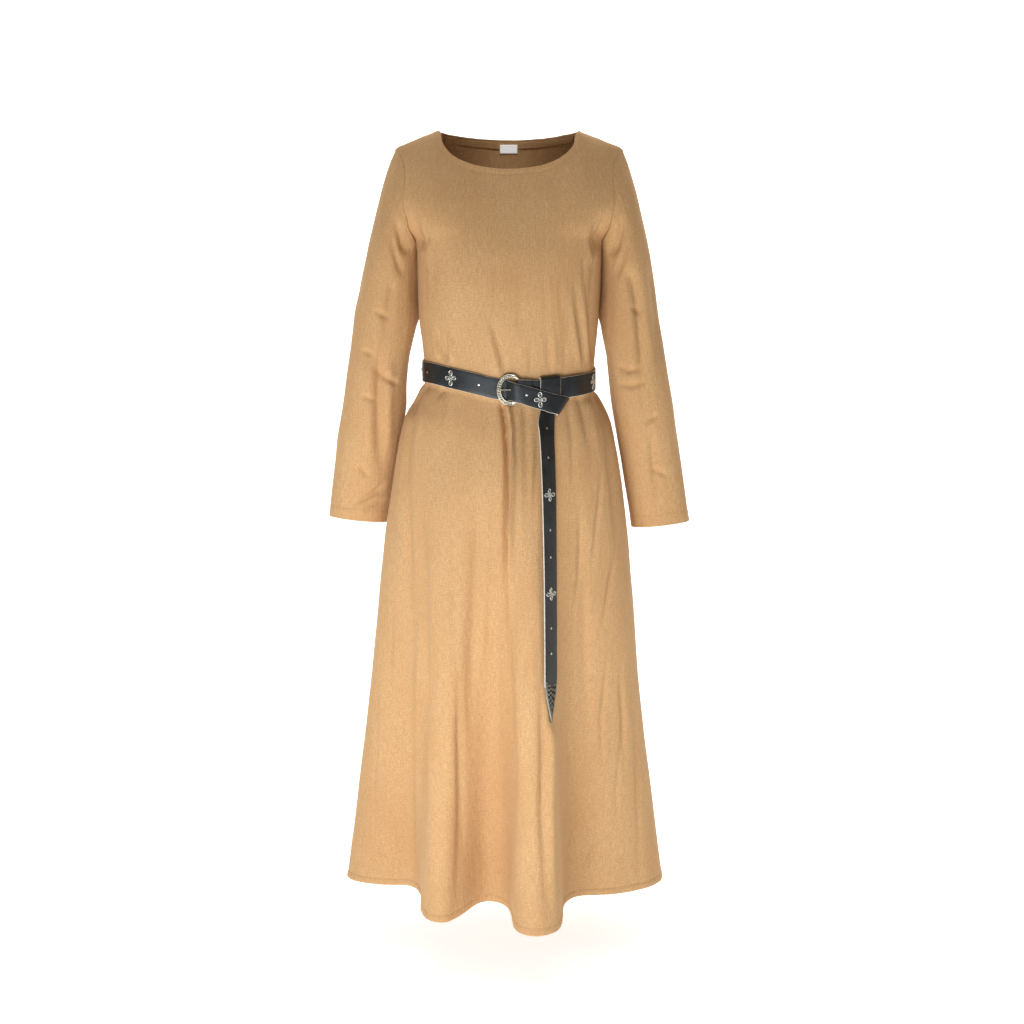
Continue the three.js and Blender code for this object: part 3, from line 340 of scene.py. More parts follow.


# creases, listed one by one: soft grooves, ridges and tucks in the cloth
# x and z along the piece as seen from its side, width and depth in mm; a groove's depth is below 0

creaseRows = {
    "front": {
        "groove": [
            (8, -10, [(-147, -210), (-152, -188), (-162, -162), (-172, -138)]),
            (4, -3.4, [(-142, -214), (-138, -188), (-144, -160), (-154, -136)]),
            (5, 2.4, [(-140, -240), (-138, -196), (-148, -162)]),
            (4, -3, [(-145, -204), (-142, -250), (-141, -310)]),
            (5, -2, [(-130, -210), (-124, -290)]),
            (8, -10, [(150, -212), (154, -188), (163, -162), (174, -138)]),
            (5, -5, [(146, -220), (142, -192), (150, -162), (164, -134)]),
            (5, 2.4, [(141, -240), (139, -200), (150, -166)]),
            (5, -3.4, [(148, -214), (143, -262), (141, -320)]),
            (4, -2.4, [(129, -214), (126, -290), (128, -340)]),
            (8, -2, [(-84, -396), (-86, -300)]),
            (8, -2.4, [(8, -424), (14, -350)]),
            (5, -2.4, [(36, -420), (40, -345)]),
            (5, -2.4, [(96, -412), (98, -350)]),
            (6, -1.6, [(64, -370), (60, -230)]),
            (7, -1.5, [(-24, -330), (-20, -200)]),
            (5, -1.5, [(18, -360), (20, -240)]),
            (6, -1.4, [(-60, -380), (-66, -240)]),
            (5, -1.6, [(90, -340), (86, -230)]),
            (10, 2, [(12, -450), (16, -520), (16, -620), (14, -760)]),
            (7, -3, [(28, -456), (30, -520), (32, -620), (32, -780)]),
            (4, -5, [(-106, -424), (-114, -444), (-124, -466)]),
            (4, -4, [(-106, -426), (-108, -460), (-112, -520)]),
            (8, 2.4, [(-112, -440), (-118, -500), (-124, -580)]),
            (7, -8, [(-141, -424), (-153, -444), (-163, -470), (-174, -520), (-180, -600), (-181, -720)]),
            (6, 3, [(-136, -436), (-146, -470), (-158, -540), (-162, -640)]),
            (7, -7, [(148, -436), (158, -462), (170, -510), (182, -620), (192, -760)]),
            (5, 2.4, [(136, -450), (146, -490), (158, -580)]),
            (6, -4, [(116, -440), (128, -484), (142, -560)]),
            (6, -3.4, [(99, -446), (108, -520), (112, -640)]),
            (5, -3, [(48, -470), (48, -560), (42, -640), (44, -760)]),
            (6, -5, [(-179, -560), (-175, -640), (-171, -735), (-167, -860)]),
            (6, -6, [(-153, -560), (-148, -640), (-145, -726), (-143, -826), (-146, -1000), (-150, -1200)]),
            (6, 2.6, [(-164, -560), (-160, -700), (-156, -900)]),
            (9, -4, [(-46, -560), (-56, -760), (-66, -1000), (-76, -1200)]),
            (7, -7, [(-86, -860), (-80, -1080), (-80, -1180), (-94, -1420)]),
            (5, -5, [(-2, -820), (8, -1060), (5, -1300)]),
            (5, -4, [(216, -900), (228, -1130), (232, -1400)]),
            (5, -5, [(192, -900), (200, -1010), (204, -1150)]),
            (7, 2.6, [(-30, -560), (-40, -800), (-50, -1050)]),
            (8, -3, [(-96, -600), (-92, -800), (-98, -1000)]),
            (9, -3.6, [(112, -540), (128, -700), (134, -963), (140, -1250)]),
            (4, -4, [(36, -858), (29, -884), (29, -910), (34, -944)]),
            (4, 2.4, [(44, -868), (39, -905), (42, -940)]),
            (3.6, -4.4, [(163, -560), (150, -692), (132, -800)]),
            (3.6, -4.4, [(190, -690), (170, -800), (152, -890)]),
            (3.6, -4.6, [(120, -1150), (102, -1240), (96, -1290)]),
            (3.6, -4.8, [(160, -1200), (134, -1262), (112, -1302)]),
            (3.6, -3.6, [(201, -1010), (188, -1140), (192, -1240)]),
            (3.6, -4, [(99, -1010), (112, -1120)]),
            (3.6, -4, [(172, -900), (160, -1010), (164, -1120)]),
            (3.6, -3.6, [(126, -640), (120, -760), (104, -860)]),
            (4, -2.6, [(-200, -760), (-206, -900), (-212, -1060)]),
            (4, -2.6, [(-120, -700), (-108, -900), (-112, -1040)]),
            (4, -2.6, [(-230, -900), (-236, -1100), (-246, -1260)]),
            (4, -2.6, [(-20, -800), (-18, -1000), (-30, -1180)]),
        ],
        "tuck": [
            (5, 4.5, [(-113, -404), (-117, -380), (-124, -350), (-128, -322)]),
            (4, -3.6, [(-101, -404), (-102, -378), (-104, -340)]),
            (6, 4.5, [(-10, -424), (-16, -395), (-24, -360), (-36, -310)]),
            (5, -3, [(74, -416), (72, -330)]),
            (6, 4.4, [(127, -402), (120, -360), (114, -320), (107, -250)]),
            (5, 4.4, [(143, -402), (137, -350), (132, -300), (127, -220)]),
            (4.2, 12, [(-12, -448), (-6, -468), (-1, -500), (2, -550), (2, -620), (0, -720), (-3, -880)]),
            (6, 8, [(58, -880), (65, -1040), (63, -1140), (68, -1250), (78, -1400)]),
            (5, -8, [(-150, -800), (-150, -1100), (-151, -1420)]),
        ],
    },
    "back": {
        "groove": [
            (6, -4.2, [(-176, -138), (-162, -170), (-150, -205), (-146, -250)]),
            (4, -2, [(-166, -140), (-140, -190), (-128, -250)]),
            (6, -4.2, [(176, -140), (162, -172), (152, -208), (148, -255)]),
            (4, -2, [(166, -142), (142, -192), (132, -244)]),
            (12, -2.2, [(-40, -90), (-34, -200), (-30, -330)]),
            (14, -2, [(52, -110), (44, -240), (46, -360)]),
            (6, -3, [(-118, -440), (-130, -520), (-142, -640)]),
            (6, -3, [(112, -440), (126, -530), (136, -650)]),
            (10, -2.4, [(-104, -700), (-110, -960), (-118, -1280)]),
            (9, -2.4, [(20, -680), (26, -940), (30, -1260)]),
            (3.5, -1.6, [(-170, -640), (-184, -820), (-180, -960)]),
            (3.5, -1.6, [(170, -700), (180, -880), (196, -1050)]),
            (3.5, -1.5, [(84, -760), (72, -900), (78, -1030)]),
        ],
        "tuck": [
            (6, 2.6, [(-92, -320), (-88, -392)]),
            (6, -2.4, [(-30, -310), (-26, -388)]),
            (6, 2.4, [(36, -325), (33, -390)]),
            (6, -2.8, [(98, -315), (92, -392)]),
            (5, 4, [(-60, -430), (-66, -520), (-70, -660)]),
            (5, -4, [(44, -430), (50, -530), (54, -680)]),
        ],
    },
    "sleeveFront": {
        "groove": [
            (9, -10, [(-172, -218), (-180, -192), (-188, -168), (-196, -144)]),
            (5, -5, [(-180, -252), (-196, -206), (-203, -160)]),
            (8, -6, [(-196, -250), (-208, -320), (-218, -380)]),
            (8, -9, [(-210, -340), (-222, -390), (-226, -480), (-225, -600), (-228, -640)]),
            (7, 3.4, [(-206, -390), (-210, -480), (-210, -590)]),
            (7, 3.4, [(-240, -390), (-243, -480), (-244, -600)]),
            (5, -5, [(-204, -322), (-234, -306)]),
            (5, -7, [(-186, -436), (-210, -426), (-240, -402)]),
            (5, -5, [(-228, -390), (-256, -372)]),
            (5, -4, [(-226, -464), (-262, -452)]),
            (5.5, -8, [(-214, -606), (-234, -626), (-258, -640), (-278, -648)]),
            (5, -5, [(-214, -636), (-238, -648), (-264, -656)]),
            (5, -4, [(-246, -600), (-268, -570)]),
            (8, 2.6, [(-262, -480), (-270, -600)]),
            (9, -10, [(174, -220), (184, -194), (192, -168), (200, -142)]),
            (5, -5, [(184, -256), (198, -208), (206, -158)]),
            (9, -9, [(206, -232), (222, -300), (230, -380), (232, -500)]),
            (7, 3, [(212, -260), (212, -340), (214, -440)]),
            (8, -6, [(246, -230), (258, -320), (262, -440)]),
            (5, -7, [(184, -396), (206, -412), (236, -404)]),
            (5, -5, [(186, -430), (212, -438), (248, -426)]),
            (5, -5, [(262, -484), (232, -506)]),
            (5, -5, [(206, -300), (236, -316)]),
            (5, -4, [(248, -580), (288, -600)]),
            (7, -6, [(248, -500), (256, -600), (262, -670)]),
        ],
    },
    "sleeveBack": {
        "groove": [
            (6, -3.5, [(-190, -130), (-194, -180), (-188, -230)]),
            (6, -2.6, [(-250, -398), (-214, -418), (-190, -410)]),
            (7, -2, [(-222, -250), (-236, -360), (-252, -500)]),
            (5, -1.6, [(-280, -560), (-240, -580)]),
            (6, -3.5, [(192, -130), (196, -184), (190, -236)]),
            (6, -2.6, [(250, -402), (216, -420), (190, -408)]),
            (7, -2, [(224, -250), (238, -360), (252, -500)]),
            (5, -1.6, [(282, -566), (244, -584)]),
        ],
    },
}


# how far a crease takes to start, in mm or as a share of its length, and the share over which it fades
crease = {"sharpLead": 24, "softLead": 0.35, "fade": 0.55,
          "armpitFrom": -260, "beltFrom": -460, "beltTo": -380}


def creaseHeight(points, rows):
    height = np.zeros(points.shape[:-1])
    flat = points[..., [0, 2]]
    for kind, width, depth, path in ((kind, *row) for kind in rows for row in rows[kind]):
        path = np.array(path, float)
        lengths = np.linalg.norm(np.diff(path, axis=0), axis=1)
        nearest = np.full(height.shape, 1e9)
        sideways, along = np.zeros(height.shape), np.zeros(height.shape)
        for k, length in enumerate(lengths):
            run = path[k + 1] - path[k]
            t = np.clip(((flat - path[k]) @ run) / length ** 2, 0, 1)
            foot = flat - path[k] - t[..., None] * run
            gap = np.linalg.norm(foot, axis=-1)
            near = gap < nearest
            nearest = np.where(near, gap, nearest)
            sideways = np.where(near, np.sign(run[0] * foot[..., 1] - run[1] * foot[..., 0]) * gap, sideways)
            along = np.where(near, (lengths[:k].sum() + t * length) / lengths.sum(), along)
        # one that starts at the belt or near an armpit starts sharply
        sharp = crease["beltFrom"] < path[0, 1] < crease["beltTo"] or path[0, 1] > crease["armpitFrom"]
        lead = crease["sharpLead"] if sharp else crease["softLead"] * lengths.sum()
        taper = smooth(along * lengths.sum() / lead) * smooth((1 - along) / crease["fade"])
        s = (sideways if kind == "tuck" else nearest) / width
        shape = s * np.exp(0.5 - s * s / 2) if kind == "tuck" else np.exp(-s * s)
        height += depth * taper * shape
    return height


def wobble(points, seed, across, down, size):
    # slow, uneven waves in the cloth, longer down the garment than across it
    flat = points.reshape(-1, 3)
    values = [noise.noise(Vector((x / across + seed, y / across, z / down))) for x, y, z in flat]
    return size * np.array(values).reshape(points.shape[:-1])


def distanceTo(points, line):
    # from each point to the nearest of a row of closely spaced points
    flat = points.reshape(-1, 3)
    best = np.full(len(flat), 1e9)
    for p in line:
        best = np.minimum(best, np.linalg.norm(flat - p, axis=1))
    return best.reshape(points.shape[:-1])


# materials

def hexColour(code):
    # an sRGB hex value as the linear colour that a shader takes
    parts = [int(code[k:k + 2], 16) / 255 for k in (1, 3, 5)]
    return (*[c / 12.92 if c <= 0.04045 else ((c + 0.055) / 1.055) ** 2.4 for c in parts], 1)


def addNode(tree, kind, inputs=None, **settings):
    node = tree.nodes.new(kind)
    for key, value in settings.items():
        setattr(node, key, value)
    for key, value in (inputs or {}).items():
        if isinstance(value, bpy.types.NodeSocket):
            tree.links.new(value, node.inputs[key])
        else:
            node.inputs[key].default_value = value
    return node


def newMaterial(name, roughness, metallic=0.0):
    material = bpy.data.materials.new(name)
    material.use_nodes = True
    shader = material.node_tree.nodes["Principled BSDF"]
    shader.inputs["Roughness"].default_value = roughness
    shader.inputs["Metallic"].default_value = metallic
    return material, material.node_tree, shader


def solidNoise(tree, grain, detail=2.0):
    # noise through the solid, its grain in metres
    place = addNode(tree, "ShaderNodeTexCoord")
    given = {"Vector": place.outputs["Object"], "Scale": 1 / grain, "Detail": detail}
    return addNode(tree, "ShaderNodeTexNoise", given).outputs["Fac"]


def colourRamp(tree, value, *stops):
    # the colour for a value, by stops of a place along the ramp and a hex colour
    ramp = addNode(tree, "ShaderNodeValToRGB", {"Fac": value})
    elements = ramp.color_ramp.elements
    while len(elements) < len(stops):
        elements.new(0.5)
    for element, (place, colour) in zip(elements, stops):
        element.position = place
        element.color = hexColour(colour)
    return ramp.outputs["Color"]


def finishShader(tree, shader, colour, *reliefs):
    # its colour and its relief, in layers of a height, a strength and a depth in mm
    tree.links.new(colour, shader.inputs["Base Color"])
    normal = None
    for height, strength, deep in reliefs:
        given = {"Height": height, "Strength": strength, "Distance": deep * mm}
        if normal:
            given["Normal"] = normal
        normal = addNode(tree, "ShaderNodeBump", given).outputs[0]
    if normal:
        tree.links.new(normal, shader.inputs["Normal"])


def setInputs(shader, **values):
    for key, value in values.items():
        shader.inputs[key.replace("_", " ")].default_value = value


linen = {
    "dark": "#ad8458", "middle": "#c59c6e", "light": "#dab384", "shade": "#b98a5c", "bloom": "#f0d9b8",
    "heather": 1.9,  # real threads are about 0.7 mm apart; drawn coarser, or none would show
    "slubWide": 2.1, "slubLong": 15, "crinkleWide": 8, "crinkleLong": 60, "patchWide": 70, "patchLong": 160,
}


def linenCloth():
    # crisp plain-woven linen look: matt, heathered, with faint slubs and crinkles down the grain
    material, tree, shader = newMaterial("plainLinen", 0.9)
    grain = addNode(tree, "ShaderNodeUVMap", uv_map="grain")
    inMm = addNode(tree, "ShaderNodeVectorMath", {0: grain.outputs[0], 3: 1 / mm}, operation="SCALE")

    def streaks(wide, long, detail=2.0, rough=0.5):
        place = addNode(tree, "ShaderNodeMapping",
                        {"Vector": inMm.outputs[0], "Scale": (1 / wide, 1 / long, 1)})
        given = {"Vector": place.outputs[0], "Scale": 1.0, "Detail": detail, "Roughness": rough}
        return addNode(tree, "ShaderNodeTexNoise", given).outputs["Fac"]

    def added(fac, share, rest):
        given = {0: fac, 1: share, 2: rest}
        return addNode(tree, "ShaderNodeMath", given, operation="MULTIPLY_ADD").outputs[0]
    heather = streaks(linen["heather"], linen["heather"] * 1.3, 3.0, 0.7)
    slubs = streaks(linen["slubWide"], linen["slubLong"])
    picks = streaks(linen["slubLong"] * 0.5, linen["slubWide"])
    crinkle = streaks(linen["crinkleWide"], linen["crinkleLong"], 3.0)
    patches = streaks(linen["patchWide"], linen["patchLong"], 1.0)
    tone = added(heather, 0.56, added(slubs, 0.24, added(picks, 0.2, 0.0)))
    yarn = colourRamp(tree, tone, (0.34, linen["dark"]), (0.5, linen["middle"]), (0.66, linen["light"]))
    cloud = addNode(tree, "ShaderNodeMapRange", {"Value": patches, "From Min": 0.35, "From Max": 0.75,
                                                 "To Min": 0.0, "To Max": 0.35})
    given = {"Factor": cloud.outputs[0], 6: yarn, 7: hexColour(linen["shade"])}
    colour = addNode(tree, "ShaderNodeMix", given, data_type="RGBA")
    finishShader(tree, shader, colour.outputs[2],
                 (heather, 0.2, 0.8), (slubs, 0.14, 0.9), (picks, 0.12, 0.9), (crinkle, 0.34, 3.4))
    setInputs(shader, Sheen_Weight=0.2, Sheen_Roughness=0.5, Sheen_Tint=hexColour(linen["bloom"]),
              Specular_IOR_Level=0.2)
    return material


def sewingThread():
    # spun polyester sewing thread, a shade lighter than the cloth, with a faint lustre
    material, tree, shader = newMaterial("sewingThread", 0.6)
    twist = solidNoise(tree, 1 / 900)
    finishShader(tree, shader, colourRamp(tree, twist, (0.35, "#b98b56"), (0.65, "#dcb27c")))
    return material


def labelTape():
    # smooth white woven tape, with its fine ribs just showing; a faint emission makes it glow a little:
    # painted light
    material, tree, shader = newMaterial("wovenTape", 0.6)
    # painted light: a faint glow that brightens the tape inside the neck
    setInputs(shader, Emission_Color=hexColour("#f4f6fa"), Emission_Strength=0.35)
    ribPitch = 0.9 * mm
    place = addNode(tree, "ShaderNodeTexCoord")
    ribs = addNode(tree, "ShaderNodeTexWave", {"Vector": place.outputs["Object"], "Distortion": 0.4,
                                               "Scale": 2 * math.pi / 20 / ribPitch}, bands_direction="Z")
    finishShader(tree, shader, colourRamp(tree, ribs.outputs["Fac"], (0.2, "#e9e9e4"), (0.8, "#fbfbf8")),
                 (ribs.outputs["Fac"], 0.3, 0.15))
    return material


def beltLeather():
    # vegetable-tanned cowhide, dyed black and rolled smooth, with a waxed half gloss; the blue cast in its
    # colour is a painted sheen
    material, tree, shader = newMaterial("blackCowhidePaintedSheen", 0.42)
    place = addNode(tree, "ShaderNodeTexCoord")
    grain = addNode(tree, "ShaderNodeTexVoronoi",
                    {"Vector": place.outputs["Object"], "Scale": 1 / (1.1 * mm)})
    rub = solidNoise(tree, 20 * mm, 6.0)
    gloss = addNode(tree, "ShaderNodeMapRange", {"Value": rub, "From Min": 0.3, "From Max": 0.7,
                                                 "To Min": 0.36, "To Max": 0.52})
    tree.links.new(gloss.outputs[0], shader.inputs["Roughness"])
    # the blue cast of these colours is a painted sheen of cool light; the leather itself is black
    finishShader(tree, shader, colourRamp(tree, rub, (0.3, "#0c0f11"), (0.55, "#161b1f"), (0.8, "#222b31")),
                 (grain.outputs["Distance"], 0.25, 0.25), (rub, 0.35, 1.5))
    return material


def rawEdge():
    # the strap's cut edge, left undyed: pale fibrous hide
    material, tree, shader = newMaterial("rawHideEdge", 0.8)
    fibres = solidNoise(tree, 1.6 * mm, 4.0)
    finishShader(tree, shader, colourRamp(tree, fibres, (0.3, "#a79a8a"), (0.6, "#ded5c9")))
    return material


def whiteMetal(name, bright, dark, roughness=0.32):
    # cast white metal, antiqued: dark patina in the hollows, rubbed bright on what stands proud
    material, tree, shader = newMaterial(name, roughness, 1.0)
    worn = addNode(tree, "ShaderNodeAttribute", attribute_name="worn")
    cloud = solidNoise(tree, 3 * mm, 4.0)
    level = addNode(tree, "ShaderNodeMath", {0: cloud, 1: 0.5, 2: -0.25}, operation="MULTIPLY_ADD")
    total = addNode(tree, "ShaderNodeMath", {0: worn.outputs["Fac"], 1: level.outputs[0]}, operation="ADD")
    finishShader(tree, shader, colourRamp(tree, total.outputs[0], (0.25, dark), (0.7, bright)),
                 (cloud, 0.25, 0.4))
    return material


clothMaterial = linenCloth()
threadMaterial = sewingThread()
tapeMaterial = labelTape()
leatherMaterial = beltLeather()
edgeMaterial = rawEdge()
silverMaterial = whiteMetal("antiqueSilver", "#c2bcab", "#2e2a23")
pewterMaterial = whiteMetal("brightPewter", "#d4d4cd", "#5a5851")
# painted shade: a darker copy of the pewter for the strap end, on the tail that turns away from the key light
shadedPewterMaterial = whiteMetal("paintedShadePewter", "#7d7c73", "#131311", 0.42)
print("materials made")


# meshes

def newObject(name, positions, faces, materials, uvs=None, slots=None, worn=None, angle=50):
    mesh = bpy.data.meshes.new(name)
    mesh.from_pydata((np.asarray(positions, float) * mm).tolist(), [], [list(face) for face in faces])
    for material in materials:
        mesh.materials.append(material)
    if slots is not None:
        mesh.polygons.foreach_set("material_index", np.asarray(slots, np.int32))
    if uvs is not None:
        layer = mesh.uv_layers.new(name="grain")
        layer.data.foreach_set("uv", (np.asarray(uvs, float) * mm).ravel())
    if worn is not None:
        values = mesh.attributes.new("worn", "FLOAT", "POINT")
        values.data.foreach_set("value", np.asarray(worn, float).ravel())
    mesh.polygons.foreach_set("use_smooth", np.ones(len(mesh.polygons), bool))
    mesh.set_sharp_from_angle(angle=math.radians(angle))
    mesh.update()
    return addObject(name, mesh)


def finishPiece(piece, slot, *nodes):
    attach(piece, "root")
    if nodes:
        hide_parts(*nodes)
    return piece


def clothShell(name, outer, normals, tube, thick, material):
    # a wall with a rounded rim along every open edge, and the grain of the cloth in its UV map
    rows, columns = outer.shape[:2]
    inner = outer - normals * thick
    spans = columns if tube else columns - 1
    positions = [outer.reshape(-1, 3), inner.reshape(-1, 3)]
    wrapped = np.concatenate([outer, outer[:, :1]], 1)
    u = runAlong(wrapped, 1)
    u = u - u[:, [0 if tube else (columns - 1) // 2]]
    if tube:
        u = u[rows // 2] + 0 * u
    v = -runAlong(wrapped, 0)
    v = v - v[min(rows - 1, panels["armholeRows"])]
    index = np.arange(rows * columns).reshape(rows, columns)
    if tube:
        index = np.concatenate([index, index[:, :1]], 1)
    total = rows * columns
    faces, places = [], []

    def quads(corners, at):
        faces.append(np.stack([c.ravel() for c in corners], 1))
        places.append(np.stack([np.stack([u[r, c], v[r, c]], -1).reshape(-1, 2) for r, c in at], 1))
    r, c = np.meshgrid(np.arange(rows - 1), np.arange(spans), indexing="ij")
    around = [(r, c), (r + 1, c), (r + 1, c + 1), (r, c + 1)]
    sample = outer[1, 0] - outer[0, 0]
    turn = np.dot(np.cross(sample, outer[0, 1] - outer[0, 0]), normals[0, 0]) > 0
    if not turn:
        around = around[::-1]
    quads([index[a] for a in around], around)
    quads([index[a] + total for a in around[::-1]], around[::-1])

    def rim(edge, inward):
        # edge: the (row, column) places along one open edge; inward: the places one step inside
        edgeRows, edgeColumns = edge
        a, b = outer[edgeRows, edgeColumns % columns], inner[edgeRows, edgeColumns % columns]
        out = unit(a - outer[inward[0], inward[1] % columns])
        middle = (a + b) / 2 + out * thick * 0.35
        start = sum(len(p) for p in positions)
        closed = tube and len(edgeRows) > columns
        positions.append(middle[:-1] if closed else middle)
        count = len(edgeRows)
        mid = start + (np.arange(count) % (count - 1) if closed else np.arange(count))
        near, far = index[edgeRows, edgeColumns], index[edgeRows, edgeColumns] + total
        place = [(edgeRows[:-1], edgeColumns[:-1]), (edgeRows[1:], edgeColumns[1:])]
        for low, high in ((near, mid), (mid, far)):
            corners = [low[:-1], low[1:], high[1:], high[:-1]]
            at = [place[0], place[1], place[1], place[0]]
            if not turn:
                corners, at = corners[::-1], at[::-1]
            quads(corners, at)
    every = np.arange(columns + 1 if tube else columns)
    rim((every * 0, every), (every * 0 + 1, every))
    flipped = every[::-1]
    rim((flipped * 0 + rows - 1, flipped), (flipped * 0 + rows - 2, flipped))
    if not tube:
        up = np.arange(rows)[::-1]
        rim((up, up * 0), (up, up * 0 + 1))
        below = np.arange(rows)
        rim((below, below * 0 + columns - 1), (below, below * 0 + columns - 2))
    faces, places = np.concatenate(faces), np.concatenate(places)
    return newObject(name, np.concatenate(positions), faces.tolist(), [material], places, angle=70)


# the sewn cloth, panel by panel

cloth = {
    "seamFade": 5, "seamPuff": 0.9, "puffAt": 5, "puffWide": 2.4, "seamDip": 1.1, "dipWide": 2,
    "hemBand": 10, "cuffBand": 20, "neckBand": 9.5, "bandThick": 0.9, "bandEdge": 2.5, "cuffRelief": 0.4,
    "stitchDip": 1.3, "stitchWide": 1.3, "beltHalf": 21, "beltFade": 10, "beltGroove": 0.35, "wallTrim": 0.3,
}
# uneven waves in the cloth: across, down and how high
waves = {"panel": ((60, 150, 1.6), (17, 95, 0.8)), "sleeve": ((38, 110, 1.5), (14, 60, 0.7))}
waveSeeds = {"dressFront": (11, 7), "dressBack": (3, 7), "sleeveLeft": (5, 2), "sleeveRight": (9, 2)}
# where the strap's hanging end presses the skirt flat
pressed = {"left": 35, "right": 105, "top": -440, "foot": -1010, "sideFade": 12, "endFade": 20}


def bandRelief(distance, band):
    # a turned-in edge: the double cloth stands a little proud, with a groove where it is stitched down
    proud = cloth["bandThick"] * (1 - smooth((distance - band + 1) / cloth["bandEdge"]))
    return proud - cloth["stitchDip"] * np.exp(-((distance - band) / cloth["stitchWide"]) ** 2)


def seamRelief(height, gap):
    # creases die away towards a seam, and the cloth puffs up a little beside it
    puff = cloth["seamPuff"] * np.exp(-((gap - cloth["puffAt"]) / cloth["puffWide"]) ** 2)
    dip = cloth["seamDip"] * np.exp(-(gap / cloth["dipWide"]) ** 2)
    return height * smooth(gap / cloth["seamFade"]) + puff - dip


def unevenness(grid, name, kind):
    return sum(wobble(grid, seed, *wave) for seed, wave in zip(waveSeeds[name], waves[kind]))


def dressRelief(grid, name, back):
    height = creaseHeight(grid, creaseRows["back" if back else "front"]) + unevenness(grid, name, "panel")
    inset, fromTop = runAlong(grid, 1), runAlong(grid, 0)
    height = seamRelief(height, np.minimum(inset, inset[:, -1:] - inset))
    shoulder = np.abs(grid[0][:, 0]) >= dress["neckHalf"] - 0.5
    height = np.where(shoulder, seamRelief(height, fromTop), height)
    neckLine = grid[0][np.abs(grid[0][:, 0]) <= dress["neckHalf"] + 0.5]
    height += bandRelief(distanceTo(grid, neckLine), cloth["neckBand"])
    height += bandRelief(fromTop[-1] - fromTop, cloth["hemBand"])
    angle = np.degrees(np.arctan2(grid[..., 0], -grid[..., 1]))
    gap = np.abs(grid[..., 2] - dress["beltLevel"] - beltLift(angle))
    squeeze = 1 - smooth((cloth["beltHalf"] + cloth["beltFade"] - gap) / cloth["beltFade"])
    height = np.where(height > 0, height * squeeze, height * mix(cloth["beltGroove"], 1, squeeze))
    if not back:
        x, z = grid[..., 0], grid[..., 2]
        inside = ((x - pressed["left"], "sideFade"), (pressed["right"] - x, "sideFade"),
                  (pressed["top"] - z, "endFade"), (z - pressed["foot"], "endFade"))
        under = math.prod(smooth(depth / pressed[fade]) for depth, fade in inside)
        height = np.where(height > 0, height * (1 - under), height)
    return height


shapedPanels = []
for name, node, grid, normals, back in (
        ("dressFront", "dress_front", frontGrid, frontNormals, False),
        ("dressBack", "dress_back", backGrid, backNormals, True)):
    shaped = grid + normals * dressRelief(grid, name, back)[..., None]
    shapedPanels.append((shaped, normals))
    piece = clothShell(name, shaped, normals, False, dress["clothWall"] - cloth["wallTrim"], clothMaterial)
    finishPiece(piece, "dress_cloth", node)

sleeves = {}
for name, node, rows in (
        ("sleeveLeft", "sleeve_left", leftSleeve),
        ("sleeveRight", "sleeve_right", rightSleeve)):
    grid, normals = sleeveGrid(rows)
    facing = normals[..., 1]  # below 0 on the sleeve's front
    front, back = (creaseHeight(grid, creaseRows["sleeve" + side]) for side in ("Front", "Back"))
    height = np.where(facing < 0, front * smooth(-facing * 3), back * smooth(facing * 3))
    height += unevenness(grid, name, "sleeve")
    fromTop = runAlong(grid, 0)
    fromCuff = fromTop[-1] - fromTop
    height = seamRelief(height, fromTop)
    height += cloth["cuffRelief"] * bandRelief(fromCuff, cloth["cuffBand"])
    shaped = grid + normals * height[..., None]
    sleeves[name] = (shaped, normals, fromCuff)
    piece = clothShell(name, shaped, normals, True, dress["clothWall"] - cloth["wallTrim"], clothMaterial)
    finishPiece(piece, "dress_cloth", node)
print("cloth made")

# the strip inside the back of the neck, and the bare label under it

neckInside = {"facingWide": 10, "facingThick": 0.8, "facingBelow": 2, "facingReach": 0.92,
              "labelWide": 30, "labelHigh": 14, "labelThick": 0.6, "labelBelow": 5}


def insideStrip(half, high, low, rows, columns, under=0.0):
    x = np.linspace(-half, half, columns)[None, :] + np.zeros((rows, 1))
    topLevel = -dress["backNeckDrop"] * neckCurve(x) ** dress["backNeckPower"]
    angle = 180 - angleAt(x / sections[0]["left"], sections[0]["square"])
    grid = dressPoint(angle, topLevel - np.linspace(high, low, rows)[:, None])
    grid[..., 1] += dress["seamGap"] / 2
    normals = gridNormals(grid, False, np.zeros_like(grid) + (0, 40, 10))
    return grid - normals * (dress["clothWall"] + 4 * dress["seamGap"] + under), normals


below = neckInside["facingBelow"]
stripGrid, stripNormals = insideStrip(dress["neckHalf"] * neckInside["facingReach"], below,
                                      below + neckInside["facingWide"], 12, 90)
piece = clothShell("neckFacing", stripGrid, stripNormals, False, neckInside["facingThick"], clothMaterial)
finishPiece(piece, "dress_cloth", "neck_facing")
labelGrid, labelNormals = insideStrip(neckInside["labelWide"] / 2, neckInside["labelBelow"],
                                      neckInside["labelBelow"] + neckInside["labelHigh"], 10, 16,
                                      neckInside["facingThick"] + dress["seamGap"])
piece = clothShell("neckLabel", labelGrid, labelNormals, False, neckInside["labelThick"], tapeMaterial)
finishPiece(piece, "neck_label", "neck_label")


# sewing: rows of stitches along lines on the cloth

sewing = {"pitch": 3.4, "long": 2.5, "thick": 0.75, "fromSeam": 7, "pastNeck": 14, "yokeRows": 40, "seed": 4}


def groupInputs(tree, *names):
    tree.interface.new_socket("Geometry", in_out="INPUT", socket_type="NodeSocketGeometry")
    for name in names:
        kind = "NodeSocketMaterial" if name == "Material" else "NodeSocketFloat"
        tree.interface.new_socket(name, in_out="INPUT", socket_type=kind)
    tree.interface.new_socket("Geometry", in_out="OUTPUT", socket_type="NodeSocketGeometry")
    return addNode(tree, "NodeGroupInput"), addNode(tree, "NodeGroupOutput")


